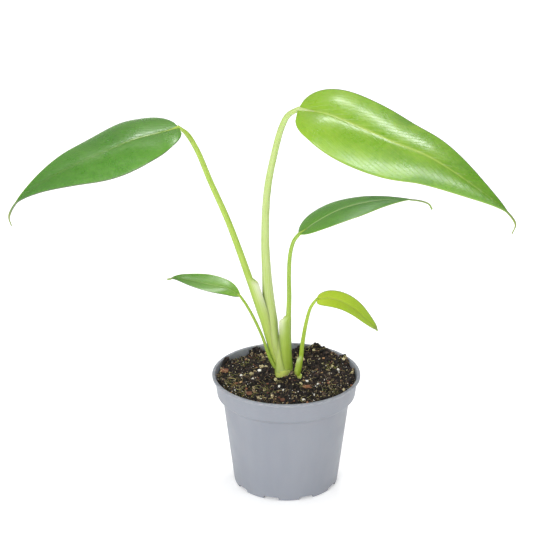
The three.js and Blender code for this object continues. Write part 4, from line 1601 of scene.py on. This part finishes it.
@dataclass
class Plant:
    """The stem, the roots and the leaves."""

    leaves: list[Leaf] = field(default_factory=monstera_leaves)
    crown: Triple = (-2.1, 7.1, 7.2)
    crown_foot: float = 78.0
    shoot: Pair = (9.6, 0.0)
    root_turns: tuple[float, ...] = (20, 95, 165, 235, 300)
    root_reach: float = 34.0
    bud: tuple[Triple, ...] = ((-4.0, 4.9, 94), (-5.2, 5.6, 106), (-6.6, 6.8, 118), (-8.6, 8.4, 131))

    def tube(self, name: str, points: Sequence[Triple], radii: Pair, sides: int = 16) -> bpy.types.Object:
        """Builds a tapering tube along a curve.

        Args:
            name: The piece's name.
            points: The curve's points in millimetres.
            radii: The radius at its start and at its end.
            sides: Points round it.

        Returns:
            The tube.
        """
        line = centripetal(points, 40)
        tangent = unit(np.gradient(line, axis=0))
        side = unit(np.cross(tangent, (0.31, 0.87, 0.38)))
        up = np.cross(side, tangent)
        turns = np.linspace(0, 2 * math.pi, sides, endpoint=False)
        radius = np.linspace(radii[0], radii[1], 40)[:, None, None]
        rings = line[:, None, :] + radius * (
            side[:, None, :] * np.cos(turns)[None, :, None] - up[:, None, :] * np.sin(turns)[None, :, None]
        )
        values = {"along": np.repeat(np.arange(40) * 2.0, sides), "around": np.tile(turns / 6.3, 40),
                  "height": np.repeat(line[:, 2], sides), "membrane": np.zeros(40 * sides)}
        return mesh_piece(name, rings.reshape(-1, 3) * MM, ring_faces(40, sides), values, 75)

    def stem(self, finish: bpy.types.Material) -> None:
        """Builds the short ringed stem, the side shoot's foot and the roots.

        Args:
            finish: The material of all of them.
        """
        x, y, radius = self.crown
        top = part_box("stem_and_roots")[1][2] / MM
        profile = rounded([
            (0, self.crown_foot, 0), (radius * 0.7, self.crown_foot + 1, 1.5), (radius * 0.95, 86, 2),
            (radius * 1.0, 92.6, 0.5), (radius * 0.98, 93.2, 0.4), (radius * 1.0, 93.8, 0.5),
            (radius * 0.99, top, 0.3),
            (0, top, 0),
        ], 4)
        sides = 64
        turns = np.linspace(0, 2 * math.pi, sides, endpoint=False)
        uneven = 1 + 0.025 * np.sin(turns * 3 + 0.8) + 0.015 * np.sin(turns * 7)
        rows = profile[1:-1]
        points = [(x + r * u * math.cos(t), y + r * u * math.sin(t), z)
                  for r, z in rows for t, u in zip(turns, uneven)]
        heights = np.array([p[2] for p in points])
        values = {"along": heights, "around": np.tile(turns / 6.3, len(rows)), "height": heights,
                  "membrane": np.zeros(len(points))}
        crown = mesh_piece("stem", np.array(points) * MM, ring_faces(len(rows), sides), values, 60)
        install(crown, finish, ["stem_and_roots"])
        foot = self.crown_foot
        shoot = self.tube("side_shoot_foot", [(x + 3, y - 2, foot + 4), (self.shoot[0] - 3, 1.5, foot + 3),
                                              (*self.shoot, foot + 8), (*self.shoot, 92.9)], (1.5, 3.2), 32)
        install(shoot, finish)
        for i, degrees in enumerate(self.root_turns):
            turn, depth = math.radians(degrees), 22 + 9 * (i % 3)
            c, s, reach = math.cos(turn), math.sin(turn), self.root_reach
            root = self.tube(f"root_{i + 1}", [
                (x, y, foot + 5), (x + c * 9, y + s * 9, foot + 1),
                (c * reach * 0.7, s * reach * 0.7, foot - 14),
                (c * reach, s * reach, (foot + depth) / 2), (c * reach * 0.8, s * reach * 0.8, depth),
            ], (1.9, 0.7), 12)
            install(root, finish)

    def build(self, shared: SharedGroups) -> None:
        """Builds the whole plant.

        Args:
            shared: The node groups that finishes share.
        """
        blades = {
            "tall_right": LeafFinish("leaf_bright", srgb(110, 154, 8), srgb(146, 180, 34), srgb(66, 118, 6),
                                     srgb(168, 194, 78), rib_reach=(0.95, 0.35), spacing=11, rough=0.27),
            "tall_left": LeafFinish("leaf_green", srgb(72, 126, 28), srgb(96, 146, 46), srgb(58, 112, 20),
                                    srgb(134, 168, 50), rib_reach=(0.4, 0.1), spacing=9, rough=0.26),
            "middle_right": LeafFinish("leaf_dark", srgb(70, 124, 26), srgb(96, 144, 42), srgb(56, 108, 20),
                                       srgb(160, 190, 116), rib_reach=(0.8, 0.5), spacing=8, rough=0.28),
            "small_left": LeafFinish("leaf_small_green", srgb(92, 142, 18), srgb(120, 162, 46),
                                     srgb(68, 120, 14),
                                     srgb(130, 170, 56), spacing=6, rough=0.28),
            "small_right": LeafFinish("leaf_lime", srgb(166, 190, 20), srgb(184, 202, 52), srgb(146, 178, 14),
                                      srgb(182, 200, 80), spacing=6, rough=0.34),
        }
        # The fourth colour of each stalk finish is painted shade for the sides that turn from view.
        stalks = {
            "tall_right": StalkFinish("stalk_pale", srgb(168, 190, 96), srgb(190, 204, 142),
                                      srgb(178, 198, 92),
                                      srgb(128, 160, 50)),
            "tall_left": StalkFinish("stalk_lime", srgb(146, 176, 52), srgb(176, 196, 96), srgb(176, 198, 84),
                                     srgb(116, 152, 26)),
            "middle_right": StalkFinish("stalk_green", srgb(126, 160, 42), srgb(164, 186, 84),
                                        srgb(164, 188, 62),
                                        srgb(88, 130, 14)),
            "small_left": StalkFinish("stalk_thin", srgb(124, 156, 38), srgb(154, 176, 70),
                                      srgb(160, 184, 76),
                                      srgb(96, 132, 20)),
            "small_right": StalkFinish("stalk_shoot", srgb(136, 166, 30), srgb(166, 188, 70),
                                       srgb(150, 176, 36),
                                       srgb(108, 142, 14)),
        }
        dressed = {name: finish.build(shared) for name, finish in stalks.items()}
        for leaf in self.leaves:
            stalk = leaf.stalk_piece()
            install(stalk, dressed[leaf.name], [f"petiole_{leaf.name}"])
            blade = leaf.blade_piece()
            install(blade, blades[leaf.name].build(shared), [f"blade_{leaf.name}"])
        bud = self.tube("inner_bud", self.bud, (4.6, 1.0), 40)
        install(bud, dressed["tall_right"])
        # Its fourth colour is painted shade for the stem's sides.
        stem = StalkFinish("stem_green", srgb(194, 210, 100), srgb(204, 216, 120), srgb(196, 212, 102),
                           srgb(164, 188, 66))
        self.stem(stem.build(shared))


# --------------------------------------------------------------------------------------------------
# Studio


@dataclass(frozen=True)
class Lamp:
    """A soft lamp: where it hangs, seen from the plant, how wide it looks and how strong it is."""

    name: str
    turn_deg: float
    rise_deg: float
    width_deg: float
    power: float


@dataclass
class Studio:
    """The pale floor, the soft lights and the camera."""

    camera_place: Triple = (-0.01593, -1.8318, 0.9569)
    camera_pitch_deg: float = 67.226
    lens: float = 168.86
    floor_half: float = 6.0
    air_strength: float = 0.8
    reflected_strength: float = 0.3
    lamps: tuple[Lamp, ...] = (
        Lamp("front_lamp", -25, 24, 20, 1.4),
        Lamp("overhead_lamp", 165, 71, 12, 0.9),
        Lamp("high_front_lamp", -35, 60, 10, 0.07),
    )

    def floor(self) -> None:
        """Lays the floor."""
        half = self.floor_half
        corners = np.array([(-half, -half, -0.0002), (half, -half, -0.0002), (half, half, -0.0002),
                            (-half, half, -0.0002)])
        floor = mesh_piece("studio_floor", corners, [(0, 1, 2, 3)])
        floor.data.materials.append(PaleFloor().build())

    def lamp(self, lamp: Lamp) -> None:
        """Hangs one far-off soft lamp.

        Args:
            lamp: Where it hangs, how wide it looks and how strong it is.
        """
        data = bpy.data.lights.new(lamp.name, "SUN")
        data.energy, data.angle = lamp.power, math.radians(lamp.width_deg)
        turn, rise = math.radians(lamp.turn_deg), math.radians(lamp.rise_deg)
        towards = Vector((math.sin(turn) * math.cos(rise), -math.cos(turn) * math.cos(rise), math.sin(rise)))
        hung = bpy.data.objects.new(lamp.name, data)
        hung.location = towards * 2
        hung.rotation_euler = towards.to_track_quat("Z", "Y").to_euler()
        bpy.context.scene.collection.objects.link(hung)

    def build(self) -> None:
        """Sets up the floor, the lights, the surroundings and the camera."""
        scene = bpy.context.scene
        self.floor()
        for lamp in self.lamps:
            self.lamp(lamp)
        world = bpy.data.worlds.new("studio_air")
        world.use_nodes = True
        graph = Graph(world.node_tree)
        backdrop = world.node_tree.nodes["Background"]
        backdrop.inputs["Color"].default_value = (1.0, 1.0, 1.0, 1.0)
        glossy = graph.add("ShaderNodeLightPath").outputs["Is Glossy Ray"]
        graph.feed(backdrop.inputs["Strength"],
                   graph.remap(glossy, 0.0, 1.0, self.air_strength, self.reflected_strength))
        scene.world = world
        scene.view_settings.view_transform = "Standard"
        data = bpy.data.cameras.new("camera")
        data.sensor_width, data.lens = 36.0, self.lens
        camera = bpy.data.objects.new("camera", data)
        camera.location = self.camera_place
        camera.rotation_euler = (math.radians(self.camera_pitch_deg), 0, 0)
        scene.collection.objects.link(camera)
        scene.camera = camera


def main() -> None:
    """Builds everything."""
    logging.basicConfig(level=logging.INFO, format="%(name)s: %(message)s")
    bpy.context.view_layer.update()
    Studio().build()
    shared = SharedGroups()
    NurseryPot().build(shared)
    materials = loose_materials()
    SoilBed().build(shared, materials)
    LoosePieces().build(materials)
    Plant().build(shared)


if __name__ == "__main__":
    main()
